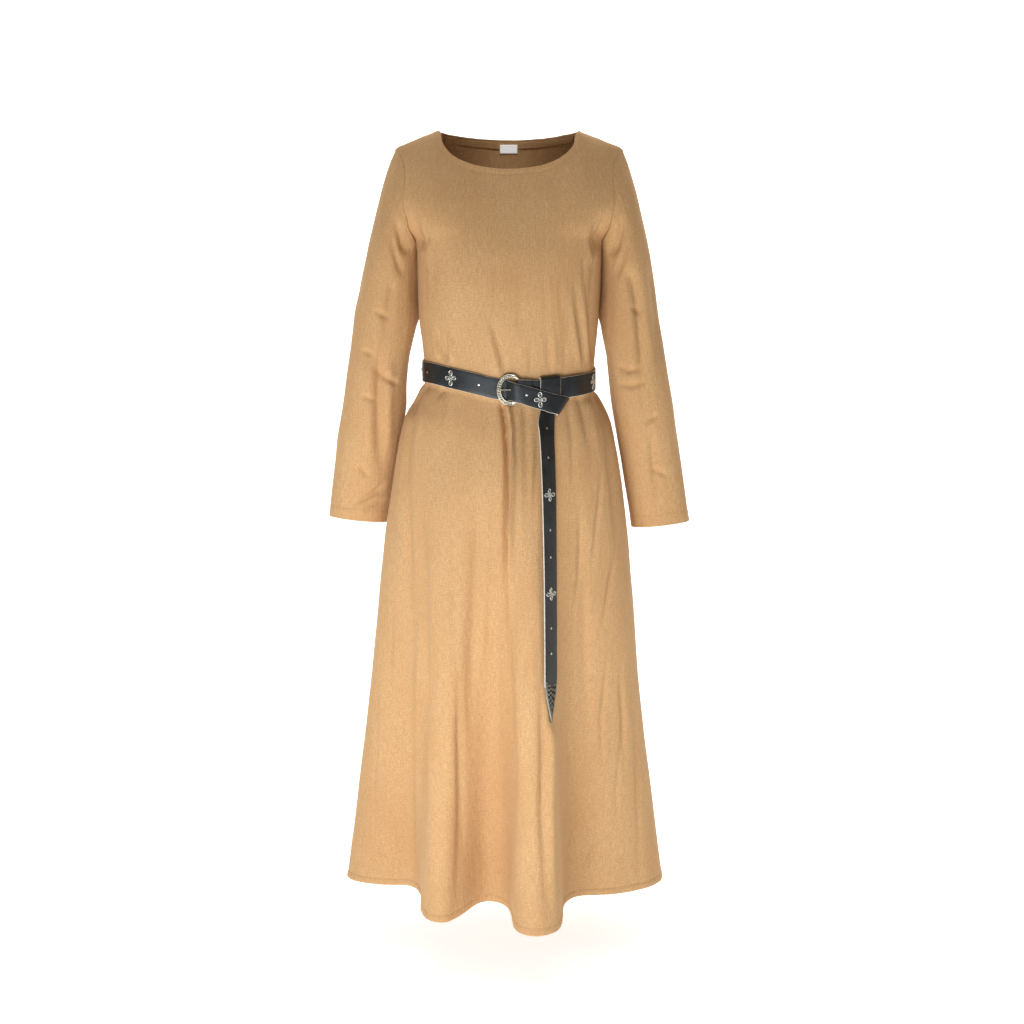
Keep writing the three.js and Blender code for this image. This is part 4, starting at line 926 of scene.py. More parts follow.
def finishTree(tree, geometry, material, result):
    # real copies, shaded smooth and in their material
    real = addNode(tree, "GeometryNodeRealizeInstances", {0: geometry})
    soft = addNode(tree, "GeometryNodeSetShadeSmooth", {0: real.outputs[0]})
    coat = addNode(tree, "GeometryNodeSetMaterial", {"Geometry": soft.outputs[0], "Material": material})
    tree.links.new(coat.outputs[0], result.inputs[0])
    return tree


def stitchTree():
    tree = bpy.data.node_groups.new("stitches", "GeometryNodeTree")
    given, result = groupInputs(tree, "Pitch", "Length", "Thickness", "Material")
    line = addNode(tree, "GeometryNodeMeshToCurve", {"Mesh": given.outputs["Geometry"]})
    points = addNode(tree, "GeometryNodeCurveToPoints",
                     {"Curve": line.outputs[0], "Length": given.outputs["Pitch"]}, mode="LENGTH")
    turn = addNode(tree, "FunctionNodeAlignRotationToVector", {"Vector": points.outputs["Tangent"]}, axis="Z")
    bead = addNode(tree, "GeometryNodeMeshUVSphere", {"Segments": 6, "Rings": 4, "Radius": 0.5})
    thick = given.outputs["Thickness"]
    size = addNode(tree, "ShaderNodeCombineXYZ", {0: thick, 1: thick, 2: given.outputs["Length"]})
    vary = addNode(tree, "FunctionNodeRandomValue", {2: 0.88, 3: 1.08, "Seed": sewing["seed"]},
                   data_type="FLOAT")
    scaled = addNode(tree, "ShaderNodeVectorMath", {0: size.outputs[0], 3: vary.outputs[1]},
                     operation="SCALE")
    copies = addNode(tree, "GeometryNodeInstanceOnPoints",
                     {"Points": points.outputs[0], "Instance": bead.outputs[0], "Rotation": turn.outputs[0],
                      "Scale": scaled.outputs[0]})
    return finishTree(tree, copies.outputs[0], given.outputs["Material"], result)


def growNodes(name, base, tree, values):
    # run a node tree on a base mesh and keep the result as a plain mesh
    modifier = base.modifiers.new(tree.name, "NODES")
    modifier.node_group = tree
    for socket in tree.interface.items_tree:
        if socket.item_type == "SOCKET" and socket.in_out == "INPUT" and socket.name in values:
            modifier[socket.identifier] = values[socket.name]
    bpy.context.view_layer.update()
    grown = base.evaluated_get(bpy.context.evaluated_depsgraph_get())
    mesh = bpy.data.meshes.new_from_object(grown)
    base.modifiers.remove(modifier)
    bpy.data.objects.remove(base)
    mesh.name = name
    return addObject(name, mesh)


def lineObject(lines):
    # polylines of points in mm as the edges of one mesh
    positions, edges = [], []
    for line in lines:
        start = len(positions)
        positions.extend((np.asarray(line) * mm).tolist())
        edges.extend([(start + k, start + k + 1) for k in range(len(line) - 1)])
    mesh = bpy.data.meshes.new("lines")
    mesh.from_pydata(positions, edges, [])
    return addObject("lines", mesh)


def levelLine(grid, normals, distance, at, lift=0.15):
    # the line over a grid along which a distance field has one value, read down each column
    line = []
    for c in range(grid.shape[1]):
        values = distance[:, c]
        hits = np.nonzero((values[:-1] - at) * (values[1:] - at) <= 0)[0]
        if len(hits):
            r = hits[0]
            t = (at - values[r]) / (values[r + 1] - values[r] or 1)
            line.append(mix(grid[r, c], grid[r + 1, c], t) + normals[r, c] * lift)
    return line


stitchLines = []
for grid, normals in shapedPanels:
    inset, fromTop = runAlong(grid, 1), runAlong(grid, 0)
    stitchLines.append(levelLine(grid, normals, fromTop[-1] - fromTop, cloth["hemBand"]))
    topX = np.abs(grid[0][:, 0])
    keep = topX < dress["neckHalf"] + sewing["pastNeck"]
    yoke = grid[:sewing["yokeRows"], keep]
    nearNeck = distanceTo(yoke, grid[0][topX <= dress["neckHalf"] + 0.5])
    nearNeck[0] = 0
    stitchLines.append(levelLine(yoke, normals[:sewing["yokeRows"], keep], nearNeck, cloth["neckBand"]))
    below = slice(panels["armholeRows"] + 3, -1)
    for distance in (inset, inset[:, -1:] - inset):
        turn = slice(None, None, 1 if distance is inset else -1)
        columnsFirst = (a[below, turn].swapaxes(0, 1) for a in (grid, normals, distance))
        stitchLines.append(levelLine(*columnsFirst, sewing["fromSeam"]))
for shaped, normals, fromCuff in sleeves.values():
    ring = levelLine(shaped, normals, fromCuff, cloth["cuffBand"])
    stitchLines.append(ring + ring[:1])
piece = growNodes("stitching", lineObject(stitchLines), stitchTree(),
                  {"Pitch": sewing["pitch"] * mm, "Length": sewing["long"] * mm,
                   "Thickness": sewing["thick"] * mm, "Material": threadMaterial})
finishPiece(piece, "dress_cloth")
print("sewing made:", len(piece.data.polygons), "faces")


# the belt: straps through pairs of edge points

belt = {"wide": 36, "leather": 2.8, "gap": 0.4, "clear": 0.9, "square": 2.2}
half = belt["wide"] / 2
buckle = {"x": 1.5, "halfWide": 21.5, "halfHigh": 27, "band": 7.6, "bar": 4, "thick": 3.6, "off": 6.4}
buckle["barX"] = buckle["x"] + buckle["halfWide"] - buckle["bar"] / 2
tabTurn = buckle["bar"] / 2 + 2.5 * belt["gap"] + belt["leather"] / 2
buckleZ = dress["beltLevel"] + float(beltLift(0))
waistFrontY = float(ringPoint(0, dress["beltLevel"])[1])


def layer(count):
    return belt["clear"] + belt["leather"] / 2 + count * (belt["leather"] + belt["gap"])


def beltPoint(angle, high, off):
    p = ringPoint(angle, dress["beltLevel"])
    before, after = ringPoint(angle - 1, dress["beltLevel"]), ringPoint(angle + 1, dress["beltLevel"])
    run = after - before
    outward = unit(np.stack([run[..., 1], -run[..., 0], 0 * run[..., 2]], -1))
    p = p + outward * np.asarray(off)[..., None]
    p[..., 2] = dress["beltLevel"] + beltLift(angle) + high
    return p


def beltAngle(x):
    waist = sectionAt["left" if x < 0 else "right"](dress["beltLevel"])
    return float(angleAt(x / waist, belt["square"]))


def dressFrontY(x, z):
    # the front of the dress at a place across and a height, found by halving its ring
    x = np.asarray(x, float)
    low, high = np.full(x.shape, -90.0), np.full(x.shape, 90.0)

    def at(angle):
        level = np.full(x.shape, float(z))
        for _ in range(6):
            level = level + z - dressPoint(angle, level)[..., 2]
        return dressPoint(angle, level)
    for _ in range(20):
        middle = (low + high) / 2
        left = at(middle)[..., 0] < x
        low, high = np.where(left, middle, low), np.where(left, high, middle)
    return at((low + high) / 2)[..., 1]


def frontPoint(x, high, off, under=0):
    p = beltPoint(beltAngle(x), high, off)
    if high < -half:
        p[1] = min(p[1], float(dressFrontY(np.array([p[0]]), p[2])[0]) - 1.1 * layer(under))
    return p


def spline(points, steps):
    # a smooth run through rows of points
    p = np.concatenate([2 * points[:1] - points[1:2], points, 2 * points[-1:] - points[-2:-1]])
    rows = []
    for k in range(1, len(p) - 2):
        for t in np.arange(steps) / steps:
            rows.append(0.5 * (2 * p[k] + (p[k + 1] - p[k - 1]) * t
                               + (2 * p[k - 1] - 5 * p[k] + 4 * p[k + 1] - p[k + 2]) * t ** 2
                               + (3 * p[k] - p[k - 1] - 3 * p[k + 1] + p[k + 2]) * t ** 3))
    return np.array(rows + [p[-2]])


# round the strap's section: place across (-1 to 1) and height in half thicknesses
strapSection = [(-1, 0.4), (-0.965, 0.85), (-0.9, 1), (-0.6, 1), (-0.2, 1), (0.2, 1), (0.6, 1), (0.9, 1),
                (0.965, 0.85), (1, 0.4), (1, -0.4), (0.965, -0.85), (0.9, -1), (0.3, -1), (-0.3, -1),
                (-0.9, -1), (-0.965, -0.85), (-1, -0.4)]


def strapPoints(stations, s, lift):
    # a point on a strap given by its left, middle and right lines
    a, m, b = stations[:, 0], stations[:, 1], stations[:, 2]
    p = a * (s * s - s) / 2 + m * (1 - s * s) + b * (s * s + s) / 2
    across = a * (s - 0.5) - m * 2 * s + b * (s + 0.5)
    run = np.gradient(p, axis=0)
    return p + unit(np.cross(run, -across)) * lift


def strapMesh(name, pairs, steps, thick=belt["leather"], materials=(leatherMaterial, edgeMaterial)):
    stations = spline(np.array(pairs), steps)
    rings = np.stack([strapPoints(stations, s, h * thick / 2) for s, h in strapSection], 1)
    rows, around = rings.shape[:2]
    index = np.arange(rows * around).reshape(rows, around)
    faces, slots = [], []
    for k in range(around):
        j = (k + 1) % around
        pale = min(abs(strapSection[k][0]), abs(strapSection[j][0])) > 0.96
        for r in range(rows - 1):
            faces.append([index[r, k], index[r + 1, k], index[r + 1, j], index[r, j]])
            slots.append(1 if pale else 0)
    faces.append(index[0].tolist())
    faces.append(index[-1][::-1].tolist())
    slots += [1, 1]
    a, b, c, d = (rings.reshape(-1, 3)[i] for i in faces[len(faces) // 2])
    centre = rings[rows // 2].mean(0)
    if np.dot(np.cross(b - a, d - a), (a + b + c + d) / 4 - centre) < 0:
        faces = [face[::-1] for face in faces]
    piece = newObject(name, rings.reshape(-1, 3), faces, materials, slots=slots, angle=55)
    return piece, stations


def pair(a, b, m=None):
    return (a, (a + b) / 2 if m is None else m, b)


# the loop: its tab comes forward and turns round the buckle's bar, then the strap goes round the waist
loop = {"tabPast": (17, 8, 0), "tabTurns": (40, 90, 140), "tabBack": 2.2, "count": 57, "steps": 4,
        "first": beltAngle(buckle["barX"] + 2), "last": 360 + beltAngle(-14)}
loopOff = table("angle off", (12, layer(0)), (19, layer(1.25)), (46, layer(1.25)), (62, layer(0)),
                (350, layer(0)))
loopOffAt = column(loopOff, "off", "angle")


def loopPairs():
    tab = [(buckle["barX"] + past, buckle["off"] + tabTurn) for past in loop["tabPast"]]
    for turn in np.radians(loop["tabTurns"]):
        tab.append((buckle["barX"] - loop["tabBack"] - tabTurn * math.sin(turn),
                    buckle["off"] + tabTurn * math.cos(turn)))
    pairs = [pair(frontPoint(x, half, off), frontPoint(x, -half, off)) for x, off in tab]
    for angle in np.linspace(loop["first"], loop["last"], loop["count"]):
        off = float(loopOffAt(angle))
        pairs.append(pair(beltPoint(angle, half, off), beltPoint(angle, -half, off)))
    return pairs


crossing = table(
    "topX topHigh topOff lowX lowHigh lowOff under",
    (-11, 18, 2.4, -10.5, -18, 2.4, 0), (-4, 16.5, 3, -3, -18, 3, 0), (3, 14.5, 8.4, 5, -18.6, 8.4, 0),
    (10, 12.4, 13, 13, -20.8, 13, 0), (18, 10.4, 14.6, 22, -23, 14.6, 1), (30, 7.4, 14.6, 34, -27, 14.6, 2),
    (50, 2, 14.4, 51, -32, 14.6, 2.3), (74, -7, 13.8, 64, -37, 15, 2.5),
    (93, -14.6, 13.4, 74, -40.6, 15, 2.5), (97.5, -20, 9.6, 80, -43, 10, 1.6),
    (96, -21.2, 5.4, 79.5, -44, 7, 0.8))
hitch = table(
    "leftX leftHigh leftOff rightX rightHigh rightOff under",
    (64, -36, 3.6, 89, -22, 2.3, 0), (60, -18, 2.3, 87, -7, 2.3, 0), (53, 8, 2.3, 85, 14, 2.3, 0),
    (51, 19.4, 2.8, 84, 20.4, 2.8, 0), (51.5, 21.4, 6.2, 84.5, 22.4, 6.2, 0),
    (52, 19.4, 9.3, 85, 20.4, 9.3, 0), (52, 14, 9.9, 85, 14.5, 9.9, 0),
    (51.5, -12, 9.9, 84, -12, 9.9, 0), (51.5, -24, 9.9, 79, -24, 9.9, 1), (51.5, -34, 9.9, 76, -34, 9.9, 1))
hangRows = table("z x off turn", (-490, 63.5, 1, 37), (-530, 65, 2, 47), (-600, 67.6, 1.5, 49),
                 (-700, 69.4, 1.5, 52), (-800, 70.4, 1.5, 54), (-1000, 71, 1.5, 55))
hangAt = {key: column(hangRows, key) for key in ("x", "off", "turn")}


hangLift = 0.7  # the strap's middle off the cloth, in thicknesses


def hangingSection(z, reach=half, thick=belt["leather"]):
    # the strap hangs plumb and rests on the cloth under it
    turn = math.radians(float(hangAt["turn"](z)))
    across = np.array([math.cos(turn), math.sin(turn), 0])
    places = np.array([-1, -0.5, 0, 0.5, 1]) * reach
    x = float(hangAt["x"](z))
    y = np.min(dressFrontY(x + places * across[0], z) - places * across[1])
    middle = np.array([x, y - float(hangAt["off"](z)) - hangLift * thick, z])
    return pair(middle - across * reach, middle + across * reach)


crossingPairs = [pair(frontPoint(row["topX"], row["topHigh"], row["topOff"]),
                      frontPoint(row["lowX"], row["lowHigh"], row["lowOff"], row["under"]))
                 for row in crossing]
tailPairs = []
for row in hitch:
    middle = [(row["left" + key] + row["right" + key]) / 2 for key in ("X", "High", "Off")]
    tailPairs.append(pair(frontPoint(row["leftX"], row["leftHigh"], row["leftOff"], row["under"]),
                          frontPoint(row["rightX"], row["rightHigh"], row["rightOff"], row["under"]),
                          frontPoint(*middle, row["under"])))
strapEnd = {"top": -922, "long": 70, "thick": 3.8, "notch": 9}
crossingSteps, tailSteps = 6, 6
tailLevels = [-495, -512, -530, -560, -600, -650, -700, -760, -820, -870]
tailLevels += [strapEnd["top"], strapEnd["top"] - 10]
tailPairs += [hangingSection(z) for z in tailLevels]
loopPiece, loopStations = strapMesh("beltLoop", loopPairs(), loop["steps"])
finishPiece(loopPiece, "belt_leather", "belt_loop")
crossPiece, crossStations = strapMesh("beltCrossing", crossingPairs, crossingSteps)
finishPiece(crossPiece, "belt_leather", "belt_crossing")
tailPiece, tailStations = strapMesh("beltTail", tailPairs, tailSteps)
finishPiece(tailPiece, "belt_leather", "belt_tail")
print("straps made")


# studs along the strap, and the cross-shaped mounts

mounts = {"reachLong": 8.4, "reachSide": 6.6, "petalLong": 4.3, "petalSide": 3.5, "petalWide": 2.9,
          "wire": 1.0, "bead": 1.4, "beadOut": 2.8}
mountPlaces = {"loop": (-39.5, -97, -158, 141, 70.5), "crossingRow": 6, "tail": (-620, -776), "off": 0.15}
studs = {"across": 4.2, "high": 0.45, "off": 0.05, "worn": 0.95}


def strapFrame(stations, at, s=0.0):
    # a point on the strap's outer face with its outward direction and its direction across
    side = -1 if stations is tailStations else 1  # the tail has turned over where it was folded down
    point = strapPoints(stations, s, side * belt["leather"] / 2)[at]
    outward = unit(point - strapPoints(stations, s, 0.0)[at])
    across = unit(stations[at, 2] - stations[at, 0])
    return point, outward, across


def loopStation(angle):
    share = ((angle - loop["first"]) % 360) / (loop["last"] - loop["first"])
    return round((len(loop["tabPast"] + loop["tabTurns"]) + share * (loop["count"] - 1)) * loop["steps"])


def tailStation(z):
    start = (len(hitch) - 1) * tailSteps
    return start + int(np.argmin(np.abs(tailStations[start:, 1, 2] - z)))


def mountTree():
    tree = bpy.data.node_groups.new("crossMount", "GeometryNodeTree")
    given, result = groupInputs(tree, "ReachLong", "ReachSide", "PetalLong", "PetalSide", "PetalWide", "Wire",
                                "Bead", "BeadOut", "Material")
    get = given.outputs
    join = addNode(tree, "GeometryNodeJoinGeometry")
    wire = addNode(tree, "GeometryNodeCurvePrimitiveCircle", {"Resolution": 8, "Radius": get["Wire"]})
    for long, reach, turn in (("PetalLong", "ReachLong", 0), ("PetalSide", "ReachSide", 90)):
        circle = addNode(tree, "GeometryNodeCurvePrimitiveCircle", {"Resolution": 26, "Radius": 1.0})
        size = addNode(tree, "ShaderNodeCombineXYZ", {0: get[long], 1: get["PetalWide"], 2: 1.0})
        petal = addNode(tree, "GeometryNodeTransform",
                        {"Geometry": circle.outputs[0], "Scale": size.outputs[0]})
        ring = addNode(tree, "GeometryNodeCurveToMesh",
                       {"Curve": petal.outputs[0], "Profile Curve": wire.outputs[0]})
        seed = addNode(tree, "GeometryNodeMeshIcoSphere", {"Radius": get["Bead"], "Subdivisions": 2})
        pip = addNode(tree, "GeometryNodeTransform", {"Geometry": seed.outputs[0], "Scale": (0.75, 0.6, 0.5)})
        both = addNode(tree, "GeometryNodeJoinGeometry", {0: ring.outputs[0]})
        tree.links.new(pip.outputs[0], both.inputs[0])
        out = addNode(tree, "ShaderNodeCombineXYZ", {0: get[reach]})
        moved = addNode(tree, "GeometryNodeTransform",
                        {"Geometry": both.outputs[0], "Translation": out.outputs[0]})
        for side in (0, 180):
            turned = addNode(tree, "GeometryNodeTransform",
                             {"Geometry": moved.outputs[0], "Rotation": (0, 0, math.radians(turn + side))})
            tree.links.new(turned.outputs[0], join.inputs[0])
    around = addNode(tree, "GeometryNodeMeshCircle", {"Vertices": 4, "Radius": get["BeadOut"]})
    beads = addNode(tree, "GeometryNodeMeshIcoSphere", {"Radius": get["Bead"], "Subdivisions": 2})
    spread = addNode(tree, "GeometryNodeInstanceOnPoints",
                     {"Points": around.outputs[0], "Instance": beads.outputs[0], "Scale": (0.8, 0.8, 0.6)})
    turned = addNode(tree, "GeometryNodeTransform", {"Geometry": spread.outputs[0],
                                                     "Rotation": (0, 0, math.radians(45))})
    tree.links.new(turned.outputs[0], join.inputs[0])
    heart = addNode(tree, "GeometryNodeTransform", {"Geometry": beads.outputs[0], "Scale": (1.15, 1.15, 0.8)})
    tree.links.new(heart.outputs[0], join.inputs[0])
    return finishTree(tree, join.outputs[0], get["Material"], result)


values = {key[0].upper() + key[1:]: size * mm for key, size in mounts.items()}
base = addObject("mountBase", bpy.data.meshes.new("mountBase"))
pattern = growNodes("mountPattern", base, mountTree(), {**values, "Material": pewterMaterial})
patternMesh = pattern.data
bpy.data.objects.remove(pattern)
height = np.empty(len(patternMesh.vertices) * 3)
patternMesh.vertices.foreach_get("co", height)
worn = patternMesh.attributes.new("worn", "FLOAT", "POINT")
rubbed = 0.35 + 0.65 * height.reshape(-1, 3)[:, 2] / (mounts["wire"] * mm)
worn.data.foreach_set("value", np.clip(rubbed, 0, 1))

places = [(loopStations, loopStation(angle)) for angle in mountPlaces["loop"]]
places += [(crossStations, mountPlaces["crossingRow"] * crossingSteps)]
places += [(tailStations, tailStation(z)) for z in mountPlaces["tail"]]
for k, (stations, at) in enumerate(places):
    point, outward, across = strapFrame(stations, at)
    # the longer petals lie across the strap
    along = unit(np.cross(outward, across))
    turn = np.stack([across, along, outward], 1)
    place = (point + outward * mountPlaces["off"]) * mm
    transform = Matrix([[*turn[row], place[row]] for row in range(3)] + [[0, 0, 0, 1]])
    mesh = patternMesh.copy()
    mesh.name = f"beltMount{k + 1}"
    mesh.transform(transform)
    finishPiece(addObject(mesh.name, mesh), "belt_metal", f"belt_mount_{k + 1}")


def studTree():
    tree = bpy.data.node_groups.new("studs", "GeometryNodeTree")
    given, result = groupInputs(tree, "Across", "High", "Material")
    facing = addNode(tree, "GeometryNodeInputNamedAttribute", {"Name": "facing"}, data_type="FLOAT_VECTOR")
    turn = addNode(tree, "FunctionNodeAlignRotationToVector", {"Vector": facing.outputs[0]}, axis="Z")
    dome = addNode(tree, "GeometryNodeMeshUVSphere", {"Segments": 16, "Rings": 8, "Radius": 0.5})
    size = addNode(tree, "ShaderNodeCombineXYZ", {0: given.outputs["Across"], 1: given.outputs["Across"],
                                                  2: given.outputs["High"]})
    points = addNode(tree, "GeometryNodeMeshToPoints", {0: given.outputs["Geometry"]})
    copies = addNode(tree, "GeometryNodeInstanceOnPoints",
                     {"Points": points.outputs[0], "Instance": dome.outputs[0], "Rotation": turn.outputs[0],
                      "Scale": size.outputs[0]})
    return finishTree(tree, copies.outputs[0], given.outputs["Material"], result)


studPlaces = [(loopStations, loopStation(angle), 0.0) for angle in
              (-65, -19.5, -81, -112, -128, -143, -173, 172, 157, 126, 110, 94)]
studPlaces += [(crossStations, 29, -0.1), (loopStations, 3, -0.62), (tailStations, 45, 0.35)]
studPlaces += [(tailStations, tailStation(z), 0.0) for z in (-505, -554, -672, -716, -834, -878)]
frames = [strapFrame(stations, at, s) for stations, at, s in studPlaces]
mesh = bpy.data.meshes.new("studPoints")
mesh.from_pydata([((point + outward * studs["off"]) * mm).tolist() for point, outward, across in frames],
                 [], [])
facing = mesh.attributes.new("facing", "FLOAT_VECTOR", "POINT")
facing.data.foreach_set("vector", np.array([outward for point, outward, across in frames]).ravel())
piece = growNodes("beltStuds", addObject("studPoints", mesh), studTree(),
                  {"Across": studs["across"] * mm, "High": 2 * studs["high"] * mm,
                   "Material": pewterMaterial})
values = piece.data.attributes.new("worn", "FLOAT", "POINT")
values.data.foreach_set("value", np.full(len(piece.data.vertices), studs["worn"]))
finishPiece(piece, "belt_metal")
print("mounts and studs made")


# the buckle's frame: two rims with a beaded channel between them, and a plain bar

frameShape = {"steps": 240, "beads": 34, "squareBar": 2.2, "squareBow": 2.0}


def framePoint(turn, inset, off):
    c, s = np.cos(turn), np.sin(turn)
    square = np.where(c > 0, frameShape["squareBar"], frameShape["squareBow"])
    far = (np.abs(c) ** square + np.abs(s) ** square) ** (1 / square)
    x = buckle["x"] + (buckle["halfWide"] - inset) * c / far
    return np.stack([x, waistFrontY - off + 0 * x, buckleZ + (buckle["halfHigh"] - inset) * s / far], -1)


def buckleFrame():
    turn = 2 * math.pi * np.arange(frameShape["steps"]) / frameShape["steps"]
    band = mix(buckle["band"], buckle["bar"], smooth(1.4 * np.cos(turn)))
    onBand = smooth((band - buckle["bar"]) / (buckle["band"] - buckle["bar"]) * 1.6 - 0.5)
    low, top = buckle["off"] - buckle["thick"] / 2, buckle["off"] + buckle["thick"] / 2
    # place across the band, height, and 1 where the ornament's beads stand
    shape = [(0, low + 0.9, 0), (0, top - 0.9, 0), (0.05, top - 0.35, 0), (0.12, top, 0), (0.22, top, 0),
             (0.3, top - 0.7, 0), (0.4, top - 0.8, 0.7), (0.5, top - 0.8, 1), (0.6, top - 0.8, 0.7),
             (0.7, top - 0.7, 0), (0.78, top, 0), (0.88, top, 0), (0.95, top - 0.35, 0), (1, top - 0.9, 0),
             (1, low + 0.9, 0), (0.85, low, 0), (0.15, low, 0)]
    beads = np.abs(np.sin(turn * frameShape["beads"] / 2)) ** 0.7
    rings, worn = [], []
    for place, off, bead in shape:
        inChannel = 0.25 < place < 0.75 and off > low + 1
        level = np.where(onBand > 0, mix(top - 0.1, off, onBand), top) if inChannel else off
        height = level + bead * (beads * 1.2 - 0.3) * onBand
        rings.append(framePoint(turn, place * band, height))
        worn.append(np.clip(0.25 + (height - top + 0.9) * 0.75, 0, 1) + 0 * turn)
    rings, worn = np.stack(rings, 1), np.stack(worn, 1)
    steps, around = rings.shape[:2]
    index = np.arange(steps * around).reshape(steps, around)
    r, k = np.meshgrid(np.arange(steps), np.arange(around), indexing="ij")
    r2, k2 = (r + 1) % steps, (k + 1) % around
    faces = np.stack([index[r, k], index[r, k2], index[r2, k2], index[r2, k]], -1).reshape(-1, 4)
    return newObject("buckleFrame", rings.reshape(-1, 3), outwardFaces(rings.reshape(-1, 3), faces),
                     [silverMaterial], worn=worn, angle=60)


def outwardFaces(positions, faces):
    # turn every face the same way, so that the closed shape's volume is positive
    p = positions[np.asarray([face[:3] for face in faces])]
    volume = np.sum(p[:, 0] * np.cross(p[:, 1], p[:, 2]))
    return [list(face)[::1 if volume > 0 else -1] for face in faces]


finishPiece(buckleFrame(), "belt_metal", "buckle_ring")

prong = {"thick": 3.0, "tip": 1.6, "sides": 12}
eyeTurn = buckle["bar"] / 2 + belt["gap"] + prong["thick"] / 2


def bucklePin():
    # its eye goes round the bar and its tip rests on the frame
    route = [(buckle["barX"] + eyeTurn * math.sin(t), buckle["off"] + eyeTurn * math.cos(t))
             for t in np.radians(range(-330, -59, 15))]
    rest = buckle["off"] + buckle["thick"] / 2 + belt["gap"] + prong["thick"] / 2
    tip = buckle["x"] - buckle["halfWide"]
    route += [(mix(buckle["barX"], tip, 0.35), buckle["off"] + 2.8), (mix(buckle["barX"], tip, 0.75), rest),
              (tip, rest)]
    line = spline(np.array(route), 4)
    run = unit(np.gradient(line, axis=0))
    side = np.stack([run[:, 1], -run[:, 0]], 1)
    left = np.linspace(0, 1, len(line))
    radius = mix(prong["thick"], prong["tip"], smooth((left - 0.7) / 0.3)) / 2
    turns = 2 * math.pi * np.arange(prong["sides"]) / prong["sides"]
    rings = np.stack([np.stack([line[:, 0] + side[:, 0] * radius * np.cos(t),
                                waistFrontY - line[:, 1] - side[:, 1] * radius * np.cos(t),
                                buckleZ + radius * np.sin(t)], -1) for t in turns], 1)
    steps, around = rings.shape[:2]
    index = np.arange(steps * around).reshape(steps, around)
    faces = [[index[r, k], index[r, (k + 1) % around], index[r + 1, (k + 1) % around], index[r + 1, k]]
             for r in range(steps - 1) for k in range(around)]
    faces += [index[0][::-1].tolist(), index[-1].tolist()]
    return newObject("bucklePin", rings.reshape(-1, 3), outwardFaces(rings.reshape(-1, 3), faces),
                     [silverMaterial], worn=np.full((steps, around), 0.85), angle=50)


finishPiece(bucklePin(), "belt_metal", "buckle_prong")

# the pointed sheath on the strap's end, cast with a border and small scrolls in relief

endShape = column(table("at half", (0, 18), (0.25, 15.5), (0.5, 11), (0.8, 4.4), (1, 0.8)), "half", "at")
sheath = {"rows": 90, "columns": 33, "border": 0.74, "borderFade": 0.1, "relief": 1.1, "sunk": 0.5,
          "tipFade": 0.08}


def strapSheath():
    rows, columns = sheath["rows"], sheath["columns"]
    t = np.linspace(0, 1, rows)
    s = np.linspace(-1, 1, columns)
    grid = np.zeros((rows, columns, 3))
    back = np.zeros((rows, columns, 3))
    worn = np.zeros((2, rows, columns))
    for r, at in enumerate(t):
        z = strapEnd["top"] - 0.3 - at * strapEnd["long"]
        left, middle, right = hangingSection(z, float(endShape(at)))
        across = unit(right - left)
        outward = unit(np.array([across[1], -across[0], 0]))
        border = smooth((np.abs(s) - sheath["border"]) / sheath["borderFade"])
        scroll = np.sin(5.2 * math.pi * at * 3 + 3 * np.abs(s)) * np.cos(2.6 * math.pi * s + 5 * at)
        relief = mix(smooth(scroll * 1.6 + 0.45) * 0.9, 1.0, border) * sheath["relief"] - sheath["sunk"]
        relief *= smooth((1 - at) / sheath["tipFade"])
        edge = np.sqrt(np.maximum(0.0, 1 - np.abs(s) ** 8))
        notch = strapEnd["notch"] * (1 - np.abs(s)) * (1 - at) ** 6
        place = middle + across * s[:, None] * float(endShape(at)) - np.array([0, 0, 1]) * notch[:, None]
        grid[r] = place + outward * ((strapEnd["thick"] / 2 + relief) * edge)[:, None]
        back[r] = place - outward * (strapEnd["thick"] / 2 * edge)[:, None]
        worn[0, r] = np.clip(0.2 + (relief + sheath["sunk"]) * 0.75, 0, 1)
        worn[1, r] = 0.5
    positions = np.concatenate([grid.reshape(-1, 3), back.reshape(-1, 3)])
    index = np.arange(rows * columns).reshape(rows, columns)
    total = rows * columns
    faces = []
    for r in range(rows - 1):
        for c in range(columns - 1):
            quad = [index[r, c], index[r + 1, c], index[r + 1, c + 1], index[r, c + 1]]
            faces.append(quad)
            faces.append([i + total for i in quad[::-1]])
    loop = [index[0, c] for c in range(columns)] + [index[r, -1] for r in range(1, rows)]
    loop += [index[-1, c] for c in range(columns - 2, -1, -1)] + [index[r, 0] for r in range(rows - 2, 0, -1)]
    for a, b in zip(loop, loop[1:] + loop[:1]):
        faces.append([a, b, b + total, a + total])
    # the sheath's darker pewter is painted shade
    return newObject("strapSheath", positions, outwardFaces(positions, faces), [shadedPewterMaterial],
                     worn=worn, angle=60)


finishPiece(strapSheath(), "belt_metal", "strap_end")
print("metalwork made")


# floor and studio light

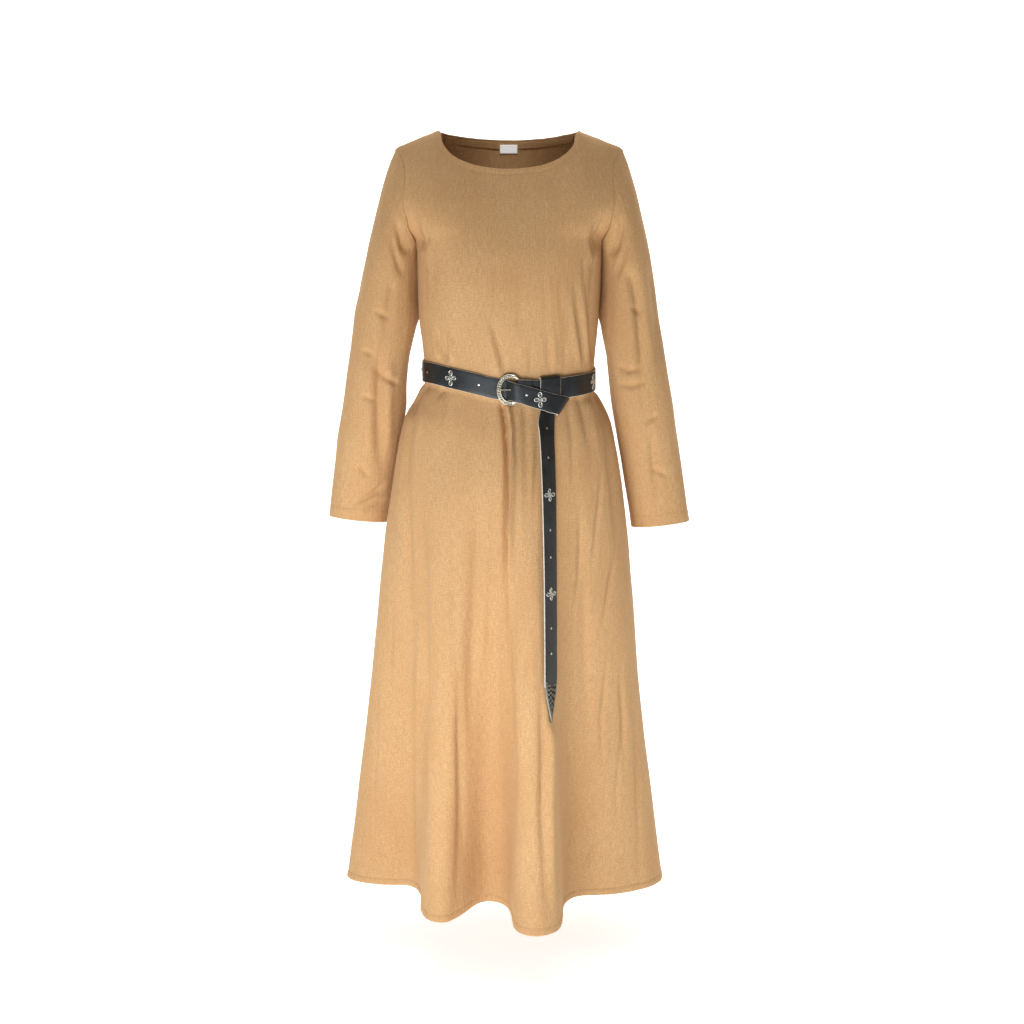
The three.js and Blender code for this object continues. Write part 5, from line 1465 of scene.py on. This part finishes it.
studio = {"floor": -1.42, "floorColour": "#f6f6f4", "floorGlow": 0.7, "worldColour": "#fff6e4", "world": 0.2}
mesh = bpy.data.meshes.new("floor")
depth = [(-6.0, 0.0), (2.2, 0.0)] + [(2.2 + 1.4 * math.sin(a), 1.4 - 1.4 * math.cos(a))
                                     for a in np.linspace(0.1, math.pi / 2, 14)] + [(3.6, 8.0)]
mesh.from_pydata([(x, y, studio["floor"] + z) for y, z in depth for x in (-8, 8)], [],
                 [(2 * k, 2 * k + 1, 2 * k + 3, 2 * k + 2) for k in range(len(depth) - 1)])
mesh.polygons.foreach_set("use_smooth", np.ones(len(mesh.polygons), bool))
floor = addObject("floor", mesh)
material, tree, shader = newMaterial("paperBackdrop", 0.9)
shader.inputs["Base Color"].default_value = hexColour(studio["floorColour"])
shader.inputs["Emission Color"].default_value = hexColour(studio["floorColour"])
shader.inputs["Emission Strength"].default_value = studio["floorGlow"]  # lit from behind, so it stays pale
mesh.materials.append(material)

world = bpy.data.worlds.new("studio")
world.use_nodes = True
world.node_tree.nodes["Background"].inputs["Color"].default_value = hexColour(studio["worldColour"])
world.node_tree.nodes["Background"].inputs["Strength"].default_value = studio["world"]
scene.world = world
scene.view_settings.view_transform = "Standard"

lights = table("name kind place aim size spread power colour",
               ("key", "AREA", (-0.5, -1.45, -1.12), (-0.05, 0, -0.87), 0.9, 105, 8.9, "#f4f9ff"),
               ("fill", "AREA", (0.9, -1.25, -1.4), (0.12, 0, -1.25), 0.9, 65, 1.1, "#f4f9ff"),
               ("top", "AREA", (0, 0.6, 2.2), (0, 0, -0.6), 2.0, 180, 3, "#ffffff"),
               ("neck", "SPOT", (0, -1.5, 0.75), (0, 0.08, -0.03), 0.06, 6, 60, "#ffffff"),
               ("backdrop", "AREA", (0, 1.2, 2.6), (0, 3.2, -0.4), 3.0, 180, 90, "#ffffff"))
for row in lights:
    data = bpy.data.lights.new(row["name"], row["kind"])
    if row["kind"] == "SPOT":
        data.spot_size = math.radians(row["spread"])
        data.spot_blend = 1.0
        data.shadow_soft_size = row["size"]
    else:
        data.size = row["size"]
        data.spread = math.radians(row["spread"])
    data.energy = row["power"]
    data.color = hexColour(row["colour"])[:3]
    lamp = addObject(row["name"], data)
    lamp.location = row["place"]
    lamp.rotation_euler = (Vector(row["aim"]) - Vector(row["place"])).to_track_quat("-Z", "Y").to_euler()
    lamp.visible_camera = False
print("stage and light set")
